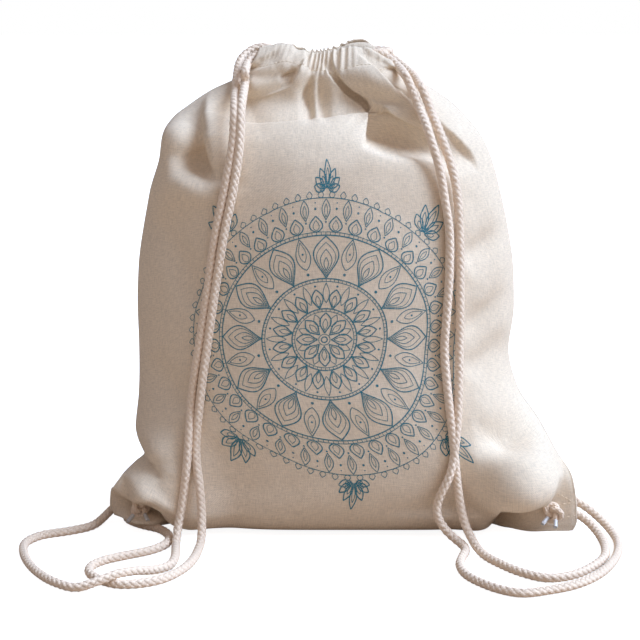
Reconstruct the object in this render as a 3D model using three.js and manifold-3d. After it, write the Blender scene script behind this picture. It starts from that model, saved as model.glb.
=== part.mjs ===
// A drawstring gym bag of unbleached cotton, stuffed full and standing on its base, with its mouth drawn
// shut. Two panels are sewn together at the sides and the bottom. Each panel ends in a gathered tunnel, and
// two braided cords run through both tunnels. Each cord leaves at its own side, hangs down the front, lies
// on the floor in a loop and is knotted through the ear of cloth at the bottom corner.
// Units are millimetres with +Z up. The front faces -Y, and the origin is on the floor below the middle.

import * as THREE from "three";
import { mergeVertices } from "three/addons/utils/BufferGeometryUtils.js";
import Module from "manifold-3d";

// Cloth of the panels and tunnels.
const CLOTH = 1.5;
const SEAM_GAP = 0.7;
const PANEL_COLUMNS = 34;
const NORMAL_STEP = 0.004;
const PANEL_ROWS = [
  0, 0.04, 0.08, 0.12, 0.16, 0.2, 0.25, 0.31, 0.38, 0.46, 0.54,
  0.61, 0.67, 0.72, 0.765, 0.8, 0.835, 0.87, 0.91, 0.955, 1,
];

// Share of a section's half width that keeps the height of its middle, before it rises to the seam, and the
// share of the rest over which the two panels come to lie flat on each other.
const LEVEL_SHARE = 0.62;
const LEVEL_RAMP = 0.9;
const FLAT_RAMP = 0.6;

// The ears of the lower corners stand forward of the side seams, most below this height.
const LEFT_EAR_FORWARD = 38;
const RIGHT_EAR_FORWARD = 56;
const EAR_INNER_X = 80;
const EAR_OUTER_X = 150;
const EAR_TOP_Z = 105;
const EAR_FULL_Z = 35;

// Gathered tunnel: its middle line dips between the two ends where the cords come out.
const TUNNEL_LEFT_X = -55;
const TUNNEL_RIGHT_X = 24;
const TUNNEL_LEFT_Z = 357;
const TUNNEL_DIP_Z = 352;
const TUNNEL_RIGHT_Z = 361;
const TUNNEL_HALF_HEIGHT = 12;
const TUNNEL_HALF_DEPTH = 7;
const TUNNEL_FROM_MIDDLE = 11.5;
const TUNNEL_STEPS = 28;
const TUNNEL_SIDES = 8;
const TUNNEL_SQUARE = 4;
const TUNNEL_OVERRUN = 1.2;
const DIP_START = 0.86;

// Gathers: the pleats are deepest at the tunnel and run out on the shoulders, where the folds take over.
const PLEAT_COUNT = 9;
const PLEAT_RISE = 2.6;
const PLEAT_START = 0.8;
const PLEAT_UNEVENNESS = [
  { share: 0.05, waves: 7, shift: 0 },
  { share: 0.03, waves: 13, shift: 1 },
];
const RUFFLE_RISE = 1.4;
const FRILL_SHARE = 0.06;
const FRILLS_PER_PLEAT = 3;
const FOLD_END = 0.93;
const FOLD_EDGE = 8;
const FOLD_SAMPLES = 16;

// Braided cords.
const CORD_DIAMETER = 5.5;
const CORD_SIDES = 6;
const STRAND_STEPS = 51;
const RUN_STEPS = 22;
const RUN_SHARES = [0.3, 0.5, 0.7, 1];
const RUN_TURN_POINTS = 5;
const UPPER_CORD_OFFSET = 4;
const LOWER_CORD_OFFSET = -4;
const CORD_GAP = 0.3;

// Sections of the bag from the bottom seam to the tunnel. along is the share of the panel's cloth, the left
// and right columns place the side seam, the root columns are where the stuffed body ends and the flat ear
// begins, front and back are the depths of the two panels at the middle, and square and soft shape the
// bulge across the section. wrap says how far the cloth turns round towards the sides.
const SECTIONS = [
  { along: 0, leftX: -178, leftZ: 8.5, rightX: 178, rightZ: 2, rootLeft: -118, rootRight: 108,
    midZ: 0, front: 0, back: 0, square: 4, soft: 0.8, wrap: 0.3 },
  { along: 0.04, leftX: -181.2, leftZ: 17, rightX: 181, rightZ: 10, rootLeft: -122, rootRight: 112,
    midZ: 0, front: 22, back: 22, square: 4, soft: 0.8, wrap: 0.3 },
  { along: 0.08, leftX: -180.4, leftZ: 27.5, rightX: 180.6, rightZ: 20, rootLeft: -128, rootRight: 124,
    midZ: 0, front: 42, back: 42, square: 4, soft: 0.8, wrap: 0.3 },
  { along: 0.12, leftX: -175.6, leftZ: 37.5, rightX: 179.4, rightZ: 29, rootLeft: -158, rootRight: 150,
    midZ: 7, front: 60, back: 60, square: 3, soft: 0.8, wrap: 0.35 },
  { along: 0.16, leftX: -169, leftZ: 46.5, rightX: 178, rightZ: 39, rootLeft: -167.5, rootRight: 156,
    midZ: 24, front: 73, back: 74, square: 2.8, soft: 0.75, wrap: 0.45 },
  { along: 0.2, leftX: -160, leftZ: 54, rightX: 175.5, rightZ: 48.5, rootLeft: -159, rootRight: 160,
    midZ: 43, front: 81, back: 82, square: 2.6, soft: 0.7, wrap: 0.55 },
  { along: 0.25, leftX: -153.6, leftZ: 59, rightX: 166, rightZ: 61, rootLeft: -153.6, rootRight: 159,
    midZ: 66, front: 86, back: 86, square: 2.6, soft: 0.6, wrap: 0.65 },
  { along: 0.31, leftX: -161.8, leftZ: 76, rightX: 154, rightZ: 82, rootLeft: -161.5, rootRight: 154,
    midZ: 92, front: 89, back: 89, square: 2.5, soft: 0.55, wrap: 0.75 },
  { along: 0.38, leftX: -160, leftZ: 103, rightX: 138, rightZ: 105, rootLeft: -160, rootRight: 138,
    midZ: 121, front: 90, back: 90, square: 2.4, soft: 0.5, wrap: 0.8 },
  { along: 0.46, leftX: -159.5, leftZ: 136, rightX: 131, rightZ: 136, rootLeft: -159.5, rootRight: 131,
    midZ: 154, front: 90, back: 90, square: 2.3, soft: 0.5, wrap: 0.8 },
  { along: 0.54, leftX: -160, leftZ: 170, rightX: 134.5, rightZ: 170, rootLeft: -160, rootRight: 134.5,
    midZ: 187, front: 90, back: 89, square: 2.2, soft: 0.5, wrap: 0.8 },
  { along: 0.61, leftX: -158.5, leftZ: 202, rightX: 133, rightZ: 202, rootLeft: -158.5, rootRight: 133,
    midZ: 216, front: 89.5, back: 88, square: 2.1, soft: 0.5, wrap: 0.8 },
  { along: 0.67, leftX: -154, leftZ: 232, rightX: 128, rightZ: 232, rootLeft: -154, rootRight: 128,
    midZ: 241, front: 88.5, back: 87, square: 2.05, soft: 0.5, wrap: 0.78 },
  { along: 0.72, leftX: -148, leftZ: 258, rightX: 122, rightZ: 258, rootLeft: -148, rootRight: 122,
    midZ: 263, front: 86.5, back: 85, square: 2, soft: 0.5, wrap: 0.75 },
  { along: 0.765, leftX: -140, leftZ: 282, rightX: 115.5, rightZ: 281, rootLeft: -140, rootRight: 115.5,
    midZ: 285, front: 81, back: 81, square: 2, soft: 0.5, wrap: 0.7 },
  { along: 0.8, leftX: -136.5, leftZ: 302, rightX: 107, rightZ: 300, rootLeft: -136.5, rootRight: 107,
    midZ: 301, front: 71, back: 74, square: 2.1, soft: 0.5, wrap: 0.6 },
  { along: 0.835, leftX: -129, leftZ: 314, rightX: 96, rightZ: 314, rootLeft: -129, rootRight: 96,
    midZ: 313, front: 57, back: 62, square: 2.3, soft: 0.5, wrap: 0.5 },
  { along: 0.87, leftX: -117, leftZ: 325, rightX: 84, rightZ: 326, rootLeft: -117, rootRight: 84,
    midZ: 322, front: 44, back: 48, square: 2.6, soft: 0.5, wrap: 0.4 },
  { along: 0.91, leftX: -100, leftZ: 336, rightX: 68, rightZ: 337, rootLeft: -100, rootRight: 68,
    midZ: 331, front: 33, back: 34, square: 3, soft: 0.5, wrap: 0.3 },
  { along: 0.955, leftX: -80, leftZ: 343.5, rightX: 48, rightZ: 346, rootLeft: -80, rootRight: 48,
    midZ: 336.5, front: 23, back: 22, square: 4, soft: 0.5, wrap: 0.2 },
  { along: 1, leftX: -60, leftZ: 343.6, rightX: 29, rightZ: 346.5, rootLeft: -60, rootRight: 29,
    midZ: 339, front: 10, back: 10, square: 8, soft: 0.5, wrap: 0.1 },
];

// Folds as seen from the front. Each runs from its start through its middle to its end, standing out by
// rise or sunk where rise is negative. above and below are its half widths on the two sides of its line.
const FRONT_FOLDS = [
  { fold: "shoulder lip", startX: -99, startZ: 318, midX: -38, midZ: 319, endX: 20, endZ: 324,
    rises: [2, 5, 5], above: 7, below: 15 },
  { fold: "pocket", startX: -4, startZ: 354, midX: 30, midZ: 313, endX: 97, endZ: 288,
    rises: [-4, -9, -6], above: 11, below: 12 },
  { fold: "flute over the pocket", startX: 0, startZ: 352, midX: 38, midZ: 340, endX: 78, endZ: 304,
    rises: [2, 9, 4], above: 12, below: 9 },
  { fold: "flute behind", startX: 24, startZ: 354, midX: 60, midZ: 338, endX: 86, endZ: 316,
    rises: [2, 6, 3], above: 10, below: 8 },
  { fold: "left ridge", startX: -92, startZ: 336, midX: -98, midZ: 312, endX: -93, endZ: 274,
    rises: [2, 6, 1], above: 9, below: 9 },
  { fold: "left dimple", startX: -126, startZ: 294, midX: -115, midZ: 287, endX: -104, endZ: 281,
    rises: [-4, -9, -5], above: 13, below: 10 },
  { fold: "rim under the dimple", startX: -124, startZ: 270, midX: -108, midZ: 268, endX: -90, endZ: 269,
    rises: [1, 5, 2], above: 8, below: 12 },
  { fold: "left crease at the centre", startX: -26, startZ: 342, midX: -26, midZ: 332, endX: -25, endZ: 320,
    rises: [-3, -5, -2], above: 5, below: 5 },
  { fold: "right crease at the centre", startX: -14, startZ: 342, midX: -14, midZ: 332, endX: -12, endZ: 320,
    rises: [-3, -5, -2], above: 5, below: 5 },
  { fold: "left shoulder ridge", startX: -46, startZ: 350, midX: -74, midZ: 341, endX: -108, endZ: 325,
    rises: [2, 5, 2], above: 9, below: 8 },
  { fold: "left shoulder crease", startX: -40, startZ: 341, midX: -62, midZ: 330, endX: -92, endZ: 321,
    rises: [-3, -6, -2], above: 7, below: 8 },
  { fold: "upper right dent", startX: 116, startZ: 250, midX: 108, midZ: 225, endX: 98, endZ: 200,
    rises: [0, -4, 0], above: 12, below: 12 },
  { fold: "lower right dent", startX: 106, startZ: 182, midX: 100, midZ: 165, endX: 92, endZ: 148,
    rises: [0, -3, 0], above: 12, below: 12 },
  { fold: "left ear pinch", startX: -157, startZ: 57, midX: -148, midZ: 47, endX: -140, endZ: 34,
    rises: [-6, -9, -2], above: 7, below: 7 },
  { fold: "left ear crease", startX: -170, startZ: 45, midX: -142, midZ: 37, endX: -114, endZ: 29,
    rises: [0, -4, -1], above: 7, below: 7 },
];
const BACK_FOLDS = [
  { fold: "left back flute", startX: -40, startZ: 350, midX: -66, midZ: 338, endX: -104, endZ: 306,
    rises: [2, 7, 2], above: 10, below: 10 },
  { fold: "left back crease", startX: -30, startZ: 345, midX: -50, midZ: 325, endX: -84, endZ: 292,
    rises: [-3, -8, -2], above: 9, below: 9 },
  { fold: "right back crease", startX: 2, startZ: 345, midX: 26, midZ: 326, endX: 66, endZ: 294,
    rises: [-3, -8, -2], above: 9, below: 9 },
  { fold: "right back flute", startX: 10, startZ: 350, midX: 42, midZ: 338, endX: 80, endZ: 308,
    rises: [2, 7, 2], above: 10, below: 10 },
];

// Cord holes in the ears, wide enough for two cords side by side, and the knots in front of them.
const HOLE_WIDTH = 14;
const HOLE_HEIGHT = 8;
const HOLE_REACH = 16;
const HOLE_SEGMENTS = 4;
const EARS = [
  { side: "left", holeX: -156.5, holeY: -38, holeZ: 18.5,
    knotX: -156.5, knotY: -47, knotZ: 17, knotTurn: 0.5 },
  { side: "right", holeX: 160.5, holeY: -56, holeZ: 20.5,
    knotX: 161, knotY: -64.8, knotZ: 19, knotTurn: -0.5 },
];
const KNOT_RADIUS = 4.4;
const KNOT_CORD_RADIUS = 2;
const KNOT_STEPS = 28;
const KNOT_SIDES = 6;

// Shrunk-on cord tips: where each starts below its knot and where it ends.
const TIP_RADIUS = 1.6;
const TIPS = [
  { name: "left_tip_a", from: [-161.9, -50.5, 12.4], to: [-165.5, -55.9, 9] },
  { name: "left_tip_b", from: [-152.8, -50.3, 12.9], to: [-149.8, -56.5, 10] },
  { name: "right_tip_a", from: [156.9, -66, 15.6], to: [152.4, -70.6, 11.6] },
  { name: "right_tip_b", from: [162.4, -69.5, 14.6], to: [161.6, -76, 11] },
];

// Routes of the free strands from the tunnel's end to the ear's hole. They lie on the shoulder, hang plumb
// down the front, lie on the floor and rise behind the ear. Crossing strands pass over each other in a hump.
const STRANDS = [
  { name: "left_outer_strand", route: [
    [-55.9, 11.5, 361], [-61.8, 11.4, 361.2], [-68.2, 10, 362.4], [-74, 5.8, 360.8], [-77.6, -1, 357],
    [-79.4, -10, 352], [-80, -23, 345.6], [-80.2, -38, 338.6], [-80.2, -52, 331.4], [-80.6, -64, 323.5],
    [-81.4, -73, 312], [-83, -78, 297], [-88, -81, 267], [-95, -82, 234], [-102, -82, 186],
    [-112.5, -80.5, 119],
    [-115, -80, 92], [-117.5, -80, 61], [-121, -80, 34], [-124.5, -83, 14], [-125.5, -92, 4.5],
    [-124.5, -107, 3], [-124, -122, 3], [-126.5, -138, 3], [-137, -153, 5], [-148, -164.5, 8.6],
    [-160, -174, 9.8], [-172, -181, 7.4], [-187, -184, 3.4], [-204, -173, 3], [-223, -147, 3],
    [-237, -110, 3], [-239, -87, 3], [-230, -71, 3], [-209, -60, 3], [-194, -48, 3],
    [-187.5, -34, 4.5], [-181, -24, 9], [-172, -19.5, 15], [-164.5, -21, 17.6], [-159.9, -30, 18.8],
    [-159.7, -41.2, 18.5],
  ] },
  { name: "left_inner_strand", route: [
    [-55.9, -11.5, 361], [-60.8, -12, 361.2], [-65.2, -14, 361.2], [-69.4, -18, 358.8], [-72, -24, 354.6],
    [-73, -34, 348], [-73.6, -46, 340], [-74.2, -57, 331.8], [-74.8, -66.5, 322.5], [-75.8, -74.5, 310],
    [-77, -79.5, 296], [-79.5, -82.6, 267], [-84.5, -84, 234], [-98.5, -84, 148], [-105, -83, 112],
    [-109.5, -82, 70], [-108, -82, 45], [-106.5, -83.5, 22], [-106.5, -91, 7], [-108, -106, 3.2],
    [-110.5, -126, 3], [-116.5, -146, 3], [-130, -167, 3], [-147, -176, 3], [-160, -176.5, 3],
    [-173, -168, 3], [-182.5, -154, 3], [-183.5, -140, 3], [-176, -127.5, 3], [-161, -116.5, 3],
    [-144, -105.5, 3], [-133.5, -92, 3], [-132, -74, 3], [-141, -56, 3], [-156, -45.5, 3],
    [-167, -34, 3.2], [-170, -22, 4], [-166, -9, 7.5], [-157, -4, 11.8], [-150.6, -12, 16.2],
    [-152.4, -26, 18.8], [-153.3, -41.2, 18.5],
  ] },
  { name: "right_outer_strand", route: [
    [24.9, 11.5, 357], [31, 11.3, 357.2], [38.2, 7.6, 357.2], [46.4, -2, 353.2], [53.6, -17, 347.4],
    [58, -33, 341], [61.2, -47, 334], [65, -58, 324.6], [69, -64.4, 313], [73, -68, 301],
    [78.4, -71, 287], [82.5, -73.6, 271], [85.5, -76.5, 236], [86.5, -80, 150], [86, -84, 112], [85, -87.6, 88],
    [83.5, -88.4, 72], [80.5, -87.4, 56], [73.5, -85, 40], [70.5, -84.5, 28], [74, -85.5, 17],
    [82.5, -89, 8], [90, -96, 3.6], [91, -107, 3], [87.5, -120, 3], [84.5, -136, 3],
    [87, -156, 3], [97, -174, 3], [109, -187, 3], [123, -194, 3], [143, -188, 3],
    [164, -176.5, 3], [185.5, -152, 3], [203, -112, 3], [207.5, -82, 3.4], [205, -60, 5],
    [198, -46, 10], [188.5, -40, 16.5], [178, -37, 21.5], [168, -34.5, 23.5], [160.2, -38, 23.4],
    [157.4, -47, 21.5], [157.3, -58.6, 20.5],
  ] },
  { name: "right_inner_strand", route: [
    [24.9, -11.5, 357], [30.2, -12, 357.2], [35.8, -14.4, 356.8], [41, -19.5, 354.2], [45.4, -28, 349.6],
    [48.8, -39, 343.4], [51.6, -50, 336.6], [54.6, -59, 329.4], [58, -65, 320], [61.6, -69, 309],
    [65.4, -71, 298], [70, -73.6, 283], [74.5, -76.5, 259], [77.5, -78, 241], [78, -80, 210], [76.3, -81.5, 176], [75, -82, 152],
    [76.8, -82.3, 128], [79, -82.4, 108], [81.5, -82.3, 88], [83.3, -82.1, 72], [85, -82, 56],
    [88, -83, 34], [92, -88, 17], [96, -96, 9.6], [99.5, -105, 5.2], [104.5, -117, 3.2],
    [114.5, -135, 3], [127, -152, 3], [143.5, -164, 3], [161, -159.5, 3], [178, -143.5, 3],
    [192, -120, 3], [196.5, -94, 3], [195.5, -74, 4.4], [190.5, -59, 8.4], [183, -49, 12],
    [175, -42.5, 13.4], [168.6, -40.4, 15.8], [165, -45, 19.2], [163.8, -51.5, 20.4], [163.7, -58.6, 20.5],
  ] },
];

const clothMaterial = () => new THREE.MeshStandardMaterial({ color: 0xe6dccf, roughness: 0.95 });
const cordMaterial = () => new THREE.MeshStandardMaterial({ color: 0xeee6dc, roughness: 0.9 });
const tipMaterial = () => new THREE.MeshStandardMaterial({ color: 0xdcdcda, roughness: 0.35 });

// Slopes of a curve through the knots that never overshoots them.
function levelSlopes(knots, values) {
  const steps = knots.slice(1).map((knot, i) => (values[i + 1] - values[i]) / (knot - knots[i]));
  return knots.map((knot, i) => {
    const before = steps[i - 1] ?? steps[i];
    const after = steps[i] ?? steps[i - 1];
    return before * after > 0 ? (2 * before * after) / (before + after) : 0;
  });
}

// Turns a table into a function that gives every column smoothly at any value of its key column.
function smoothTable(rows, key) {
  const knots = rows.map((row) => row[key]);
  const columns = Object.keys(rows[0]).filter((name) => name !== key);
  const values = Object.fromEntries(columns.map((name) => [name, rows.map((row) => row[name])]));
  const slopes = Object.fromEntries(columns.map((name) => [name, levelSlopes(knots, values[name])]));
  return (at) => {
    const found = knots.findIndex((knot) => knot > at);
    const i = found < 0 ? knots.length - 2 : Math.max(found - 1, 0);
    const span = knots[i + 1] - knots[i];
    const t = THREE.MathUtils.clamp((at - knots[i]) / span, 0, 1);
    const rise = t * t * (3 - 2 * t);
    const leave = t * (1 - t) * (1 - t) * span;
    const arrive = t * t * (t - 1) * span;
    return Object.fromEntries(columns.map((name) => {
      const start = values[name][i];
      const end = values[name][i + 1];
      return [name, start + (end - start) * rise + slopes[name][i] * leave + slopes[name][i + 1] * arrive];
    }));
  };
}

const sectionAt = smoothTable(SECTIONS, "along");
const { lerp, smoothstep, clamp } = THREE.MathUtils;

// Depth at which the two panels meet: level with the middle, and forward at the ears.
function partingY(x, z) {
  const forward = x < 0 ? LEFT_EAR_FORWARD : RIGHT_EAR_FORWARD;
  const outward = smoothstep(Math.abs(x), EAR_INNER_X, EAR_OUTER_X);
  const low = 1 - smoothstep(z, EAR_FULL_Z, EAR_TOP_Z);
  return -forward * outward * low;
}

// Height of the tunnel's middle line.
function tunnelZ(x) {
  const middle = (TUNNEL_LEFT_X + TUNNEL_RIGHT_X) / 2;
  const share = clamp((x - middle) / (TUNNEL_RIGHT_X - middle), -TUNNEL_OVERRUN, TUNNEL_OVERRUN);
  const end = share < 0 ? TUNNEL_LEFT_Z : TUNNEL_RIGHT_Z;
  return lerp(TUNNEL_DIP_Z, end, share * share);
}

// Standing height of one fold at a place seen from the front.
function foldRise(row, x, z) {
  const bendX = 2 * row.midX - (row.startX + row.endX) / 2;
  const bendZ = 2 * row.midZ - (row.startZ + row.endZ) / 2;
  const [startRise, midRise, endRise] = row.rises;
  const bendRise = 2 * midRise - (startRise + endRise) / 2;
  let nearest = Infinity;
  let rise = 0;
  for (let i = 0; i <= FOLD_SAMPLES; i += 1) {
    const t = i / FOLD_SAMPLES;
    const a = (1 - t) * (1 - t);
    const b = 2 * t * (1 - t);
    const c = t * t;
    const dx = x - (a * row.startX + b * bendX + c * row.endX);
    const dz = z - (a * row.startZ + b * bendZ + c * row.endZ);
    const width = dz > 0 ? row.above : row.below;
    const distance = Math.hypot(dx, dz) / width;
    if (distance < nearest) {
      nearest = distance;
      rise = (a * startRise + b * bendRise + c * endRise) * Math.exp(-distance * distance);
    }
  }
  return rise;
}

// Wave of the gathers across the cloth, from -1 to 1, with pleats of uneven width.
function gatherWave(across) {
  const uneven = PLEAT_UNEVENNESS.reduce((sum, row) =>
    sum + row.share * Math.sin(across * row.waves + row.shift), across);
  return Math.cos(Math.PI * PLEAT_COUNT * uneven);
}

// One point of a panel's outer face. across runs from -1 at the left seam to 1 at the right seam, along
// from 0 at the bottom seam to 1 at the tunnel, and facing is -1 for the front and 1 for the back.
function panelPoint(across, along, facing) {
  const section = sectionAt(along);
  const turn = (section.wrap * Math.PI) / 2;
  const x = lerp(section.leftX, section.rightX, (1 + Math.sin(across * turn) / Math.sin(turn)) / 2);
  const middle = (section.rootLeft + section.rootRight) / 2;
  const half = (section.rootRight - section.rootLeft) / 2;
  const spread = Math.min(1, Math.abs(x - middle) / half);
  const bulge = Math.pow(1 - Math.pow(spread, section.square), section.soft);
  const reach = Math.min(1, x < middle ? (middle - x) / (middle - section.leftX)
    : (x - middle) / (section.rightX - middle));
  const edge = Math.max(0, (reach - LEVEL_SHARE) / (1 - LEVEL_SHARE));
  const top = smoothstep(along, DIP_START, 1);
  const seamZ = x < middle ? section.leftZ : section.rightZ;
  const middleZ = section.midZ + top * (tunnelZ(x) - TUNNEL_DIP_Z);
  const z = lerp(middleZ, seamZ, smoothstep(edge, 0, LEVEL_RAMP));
  const folds = facing < 0 ? FRONT_FOLDS : BACK_FOLDS;
  const inside = 1 - Math.pow(reach, FOLD_EDGE);
  const gathered = smoothstep(along, PLEAT_START, 1) * gatherWave(across) * PLEAT_RISE;
  const running = 1 - smoothstep(along, FOLD_END, 1);
  const folded = running * folds.reduce((sum, row) => sum + foldRise(row, x, z), 0);
  const depth = (facing < 0 ? section.front : section.back) * bulge;
  const flap = smoothstep(edge, 0, FLAT_RAMP);
  const seam = SEAM_GAP / 2 + CLOTH * flap;
  const out = Math.max(seam, seam + depth + inside * (folded + gathered));
  const point = new THREE.Vector3(x, partingY(x, z) + facing * out, z);
  return Object.assign(point, { flap });
}

// The matching point of the panel's inner face: one cloth thickness inside, kept on its side of the seam.
function innerPoint(across, along, facing) {
  const outer = panelPoint(across, along, facing);
  const inward = new THREE.Vector3(0, -facing, 0);
  if (along === 0) {
    inward.set(0, -facing * outer.flap, 1 - outer.flap).normalize();
  } else if (Math.abs(across) < 1) {
    const left = panelPoint(Math.max(across - NORMAL_STEP, -1), along, facing);
    const right = panelPoint(Math.min(across + NORMAL_STEP, 1), along, facing);
    const lower = panelPoint(across, Math.max(along - NORMAL_STEP, 0), facing);
    const upper = panelPoint(across, Math.min(along + NORMAL_STEP, 1), facing);
    inward.crossVectors(right.sub(left), upper.sub(lower)).normalize().multiplyScalar(facing);
  }
  const inner = outer.clone().addScaledVector(inward, CLOTH);
  const limit = partingY(inner.x, inner.z) + facing * SEAM_GAP / 2;
  inner.y = facing < 0 ? Math.min(inner.y, limit) : Math.max(inner.y, limit);
  inner.z = Math.max(inner.z, 0);
  return inner;
}

// Closed wall between two grids of points that face each other.
function wallGeometry(outer, inner, facing) {
  const rows = outer.length;
  const columns = outer[0].length;
  const positions = [...outer.flat(), ...inner.flat()].flatMap((point) => [point.x, point.y, point.z]);
  const at = (row, column, layer) => layer * rows * columns + row * columns + column;
  const index = [];
  const quad = (a, b, c, d) => {
    if (facing < 0) {
      index.push(a, b, c, a, c, d);
    } else {
      index.push(a, c, b, a, d, c);
    }
  };
  for (let row = 0; row < rows - 1; row += 1) {
    for (let column = 0; column < columns - 1; column += 1) {
      quad(at(row, column, 0), at(row, column + 1, 0), at(row + 1, column + 1, 0), at(row + 1, column, 0));
      quad(at(row + 1, column, 1), at(row + 1, column + 1, 1), at(row, column + 1, 1), at(row, column, 1));
    }
    const last = columns - 1;
    quad(at(row, 0, 1), at(row, 0, 0), at(row + 1, 0, 0), at(row + 1, 0, 1));
    quad(at(row, last, 0), at(row, last, 1), at(row + 1, last, 1), at(row + 1, last, 0));
  }
  for (let column = 0; column < columns - 1; column += 1) {
    const last = rows - 1;
    quad(at(0, column, 1), at(0, column + 1, 1), at(0, column + 1, 0), at(0, column, 0));
    quad(at(last, column, 0), at(last, column + 1, 0), at(last, column + 1, 1), at(last, column, 1));
  }
  const geometry = new THREE.BufferGeometry();
  geometry.setAttribute("position", new THREE.Float32BufferAttribute(positions, 3));
  geometry.setIndex(index);
  geometry.computeVertexNormals();
  return geometry;
}

function panelGeometry(facing) {
  const grid = (pointAt) => PANEL_ROWS.map((along) => Array.from({ length: PANEL_COLUMNS + 1 }, (_, i) =>
    pointAt(-1 + (2 * i) / PANEL_COLUMNS, along, facing)));
  return wallGeometry(grid(panelPoint), grid(innerPoint), facing);
}

const wasm = await Module();
wasm.setup();

function solidOf(geometry) {
  const bare = geometry.clone();
  bare.deleteAttribute("normal");
  bare.deleteAttribute("uv");
  const merged = mergeVertices(bare);
  return new wasm.Manifold(new wasm.Mesh({
    numProp: 3,
    vertProperties: Float32Array.from(merged.attributes.position.array),
    triVerts: Uint32Array.from(merged.index.array),
  }));
}

function geometryOf(solid) {
  const mesh = solid.getMesh();
  const geometry = new THREE.BufferGeometry();
  geometry.setAttribute("position", new THREE.Float32BufferAttribute(mesh.vertProperties, mesh.numProp));
  geometry.setIndex(Array.from(mesh.triVerts));
  geometry.computeVertexNormals();
  return geometry;
}

function holeGeometry(ear) {
  const radius = HOLE_HEIGHT / 2;
  const offset = HOLE_WIDTH / 2 - radius;
  const outline = new THREE.Shape();
  outline.absarc(offset, 0, radius, -Math.PI / 2, Math.PI / 2, false);
  outline.absarc(-offset, 0, radius, Math.PI / 2, (3 * Math.PI) / 2, false);
  const slot = new THREE.ExtrudeGeometry(outline, {
    depth: 2 * HOLE_REACH,
    bevelEnabled: false,
    curveSegments: HOLE_SEGMENTS,
  });
  slot.rotateX(Math.PI / 2);
  slot.translate(ear.holeX, ear.holeY + HOLE_REACH, ear.holeZ);
  return slot;
}

// A panel with the cord holes cut through its ears.
function piercedPanel(facing) {
  const holes = EARS.map((ear) => solidOf(holeGeometry(ear)));
  const cut = holes.reduce((panel, hole) => panel.subtract(hole), solidOf(panelGeometry(facing)));
  return geometryOf(cut);
}

// Gathered sleeve for the cords, a flattened ring of cloth swept from the left end to the right end.
function tunnelPoint(share, angle, facing, thickness) {
  const x = lerp(TUNNEL_LEFT_X, TUNNEL_RIGHT_X, share);
  const squared = (value) => Math.sign(value) * Math.pow(Math.abs(value), 2 / TUNNEL_SQUARE);
  const ruffle = RUFFLE_RISE * gatherWave(2 * share - 1);
  const depth = (TUNNEL_HALF_DEPTH - thickness) * squared(Math.cos(angle));
  const height = (TUNNEL_HALF_HEIGHT - thickness) * squared(Math.sin(angle));
  const frillWave = Math.cos(Math.PI * FRILLS_PER_PLEAT * PLEAT_COUNT * share);
  const frill = 1 + FRILL_SHARE * frillWave * Math.max(0, Math.sin(angle));
  const y = facing * TUNNEL_FROM_MIDDLE + depth + facing * ruffle;
  return new THREE.Vector3(x, y, tunnelZ(x) + height * frill);
}

function tunnelGeometry(facing) {
  const positions = [];
  const index = [];
  const rings = TUNNEL_STEPS + 1;
  const at = (step, side, layer) => (layer * rings + step) * TUNNEL_SIDES + (side % TUNNEL_SIDES);
  for (const thickness of [0, CLOTH]) {
    for (let step = 0; step <= TUNNEL_STEPS; step += 1) {
      for (let side = 0; side < TUNNEL_SIDES; side += 1) {
        const angle = (2 * Math.PI * (side + 0.5)) / TUNNEL_SIDES;
        const point = tunnelPoint(step / TUNNEL_STEPS, angle, facing, thickness);
        positions.push(point.x, point.y, point.z);
      }
    }
  }
  const quad = (a, b, c, d) => index.push(a, b, c, a, c, d);
  for (let side = 0; side < TUNNEL_SIDES; side += 1) {
    const next = side + 1;
    for (let step = 0; step < TUNNEL_STEPS; step += 1) {
      quad(at(step, side, 0), at(step, next, 0), at(step + 1, next, 0), at(step + 1, side, 0));
      quad(at(step, side, 1), at(step + 1, side, 1), at(step + 1, next, 1), at(step, next, 1));
    }
    quad(at(0, side, 0), at(0, side, 1), at(0, next, 1), at(0, next, 0));
    const end = TUNNEL_STEPS;
    quad(at(end, side, 0), at(end, next, 0), at(end, next, 1), at(end, side, 1));
  }
  const geometry = new THREE.BufferGeometry();
  geometry.setAttribute("position", new THREE.Float32BufferAttribute(positions, 3));
  geometry.setIndex(index);
  geometry.computeVertexNormals();
  return geometry;
}

// Round bar of the given radius along a path.
function roundBar(radius, extrudePath, steps) {
  const corners = Array.from({ length: CORD_SIDES }, (_, side) => {
    const angle = (2 * Math.PI * (side + 0.5)) / CORD_SIDES;
    return new THREE.Vector2(radius * Math.cos(angle), radius * Math.sin(angle));
  });
  return new THREE.ExtrudeGeometry(new THREE.Shape(corners), { steps, extrudePath, bevelEnabled: false });
}

function cordGeometry(points, steps) {
  const route = new THREE.CatmullRomCurve3(points.map((point) => new THREE.Vector3(...point)));
  return roundBar(CORD_DIAMETER / 2, route, steps);
}

// Route of a cord through both tunnels: in at one end, round the far end and back.
function runRoute(nearX, farX, offset) {
  const along = Math.sign(farX - nearX);
  const level = tunnelZ(nearX) + offset;
  const mouth = [[nearX - along * CORD_GAP, level], [nearX + along * CORD_DIAMETER, level]];
  const middle = RUN_SHARES.map((share) => lerp(nearX, farX, share));
  const path = [...mouth, ...middle.map((x) => [x, tunnelZ(x) + offset])];
  const out = path.map(([x, z]) => [x, TUNNEL_FROM_MIDDLE, z]);
  const turn = Array.from({ length: RUN_TURN_POINTS }, (_, i) => {
    const angle = ((i + 1) * Math.PI) / (RUN_TURN_POINTS + 1);
    const x = farX + along * TUNNEL_FROM_MIDDLE * Math.sin(angle);
    return [x, TUNNEL_FROM_MIDDLE * Math.cos(angle), tunnelZ(farX) + offset];
  });
  const back = path.toReversed().map(([x, z]) => [x, -TUNNEL_FROM_MIDDLE, z]);
  return [...out, ...turn, ...back];
}

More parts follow.
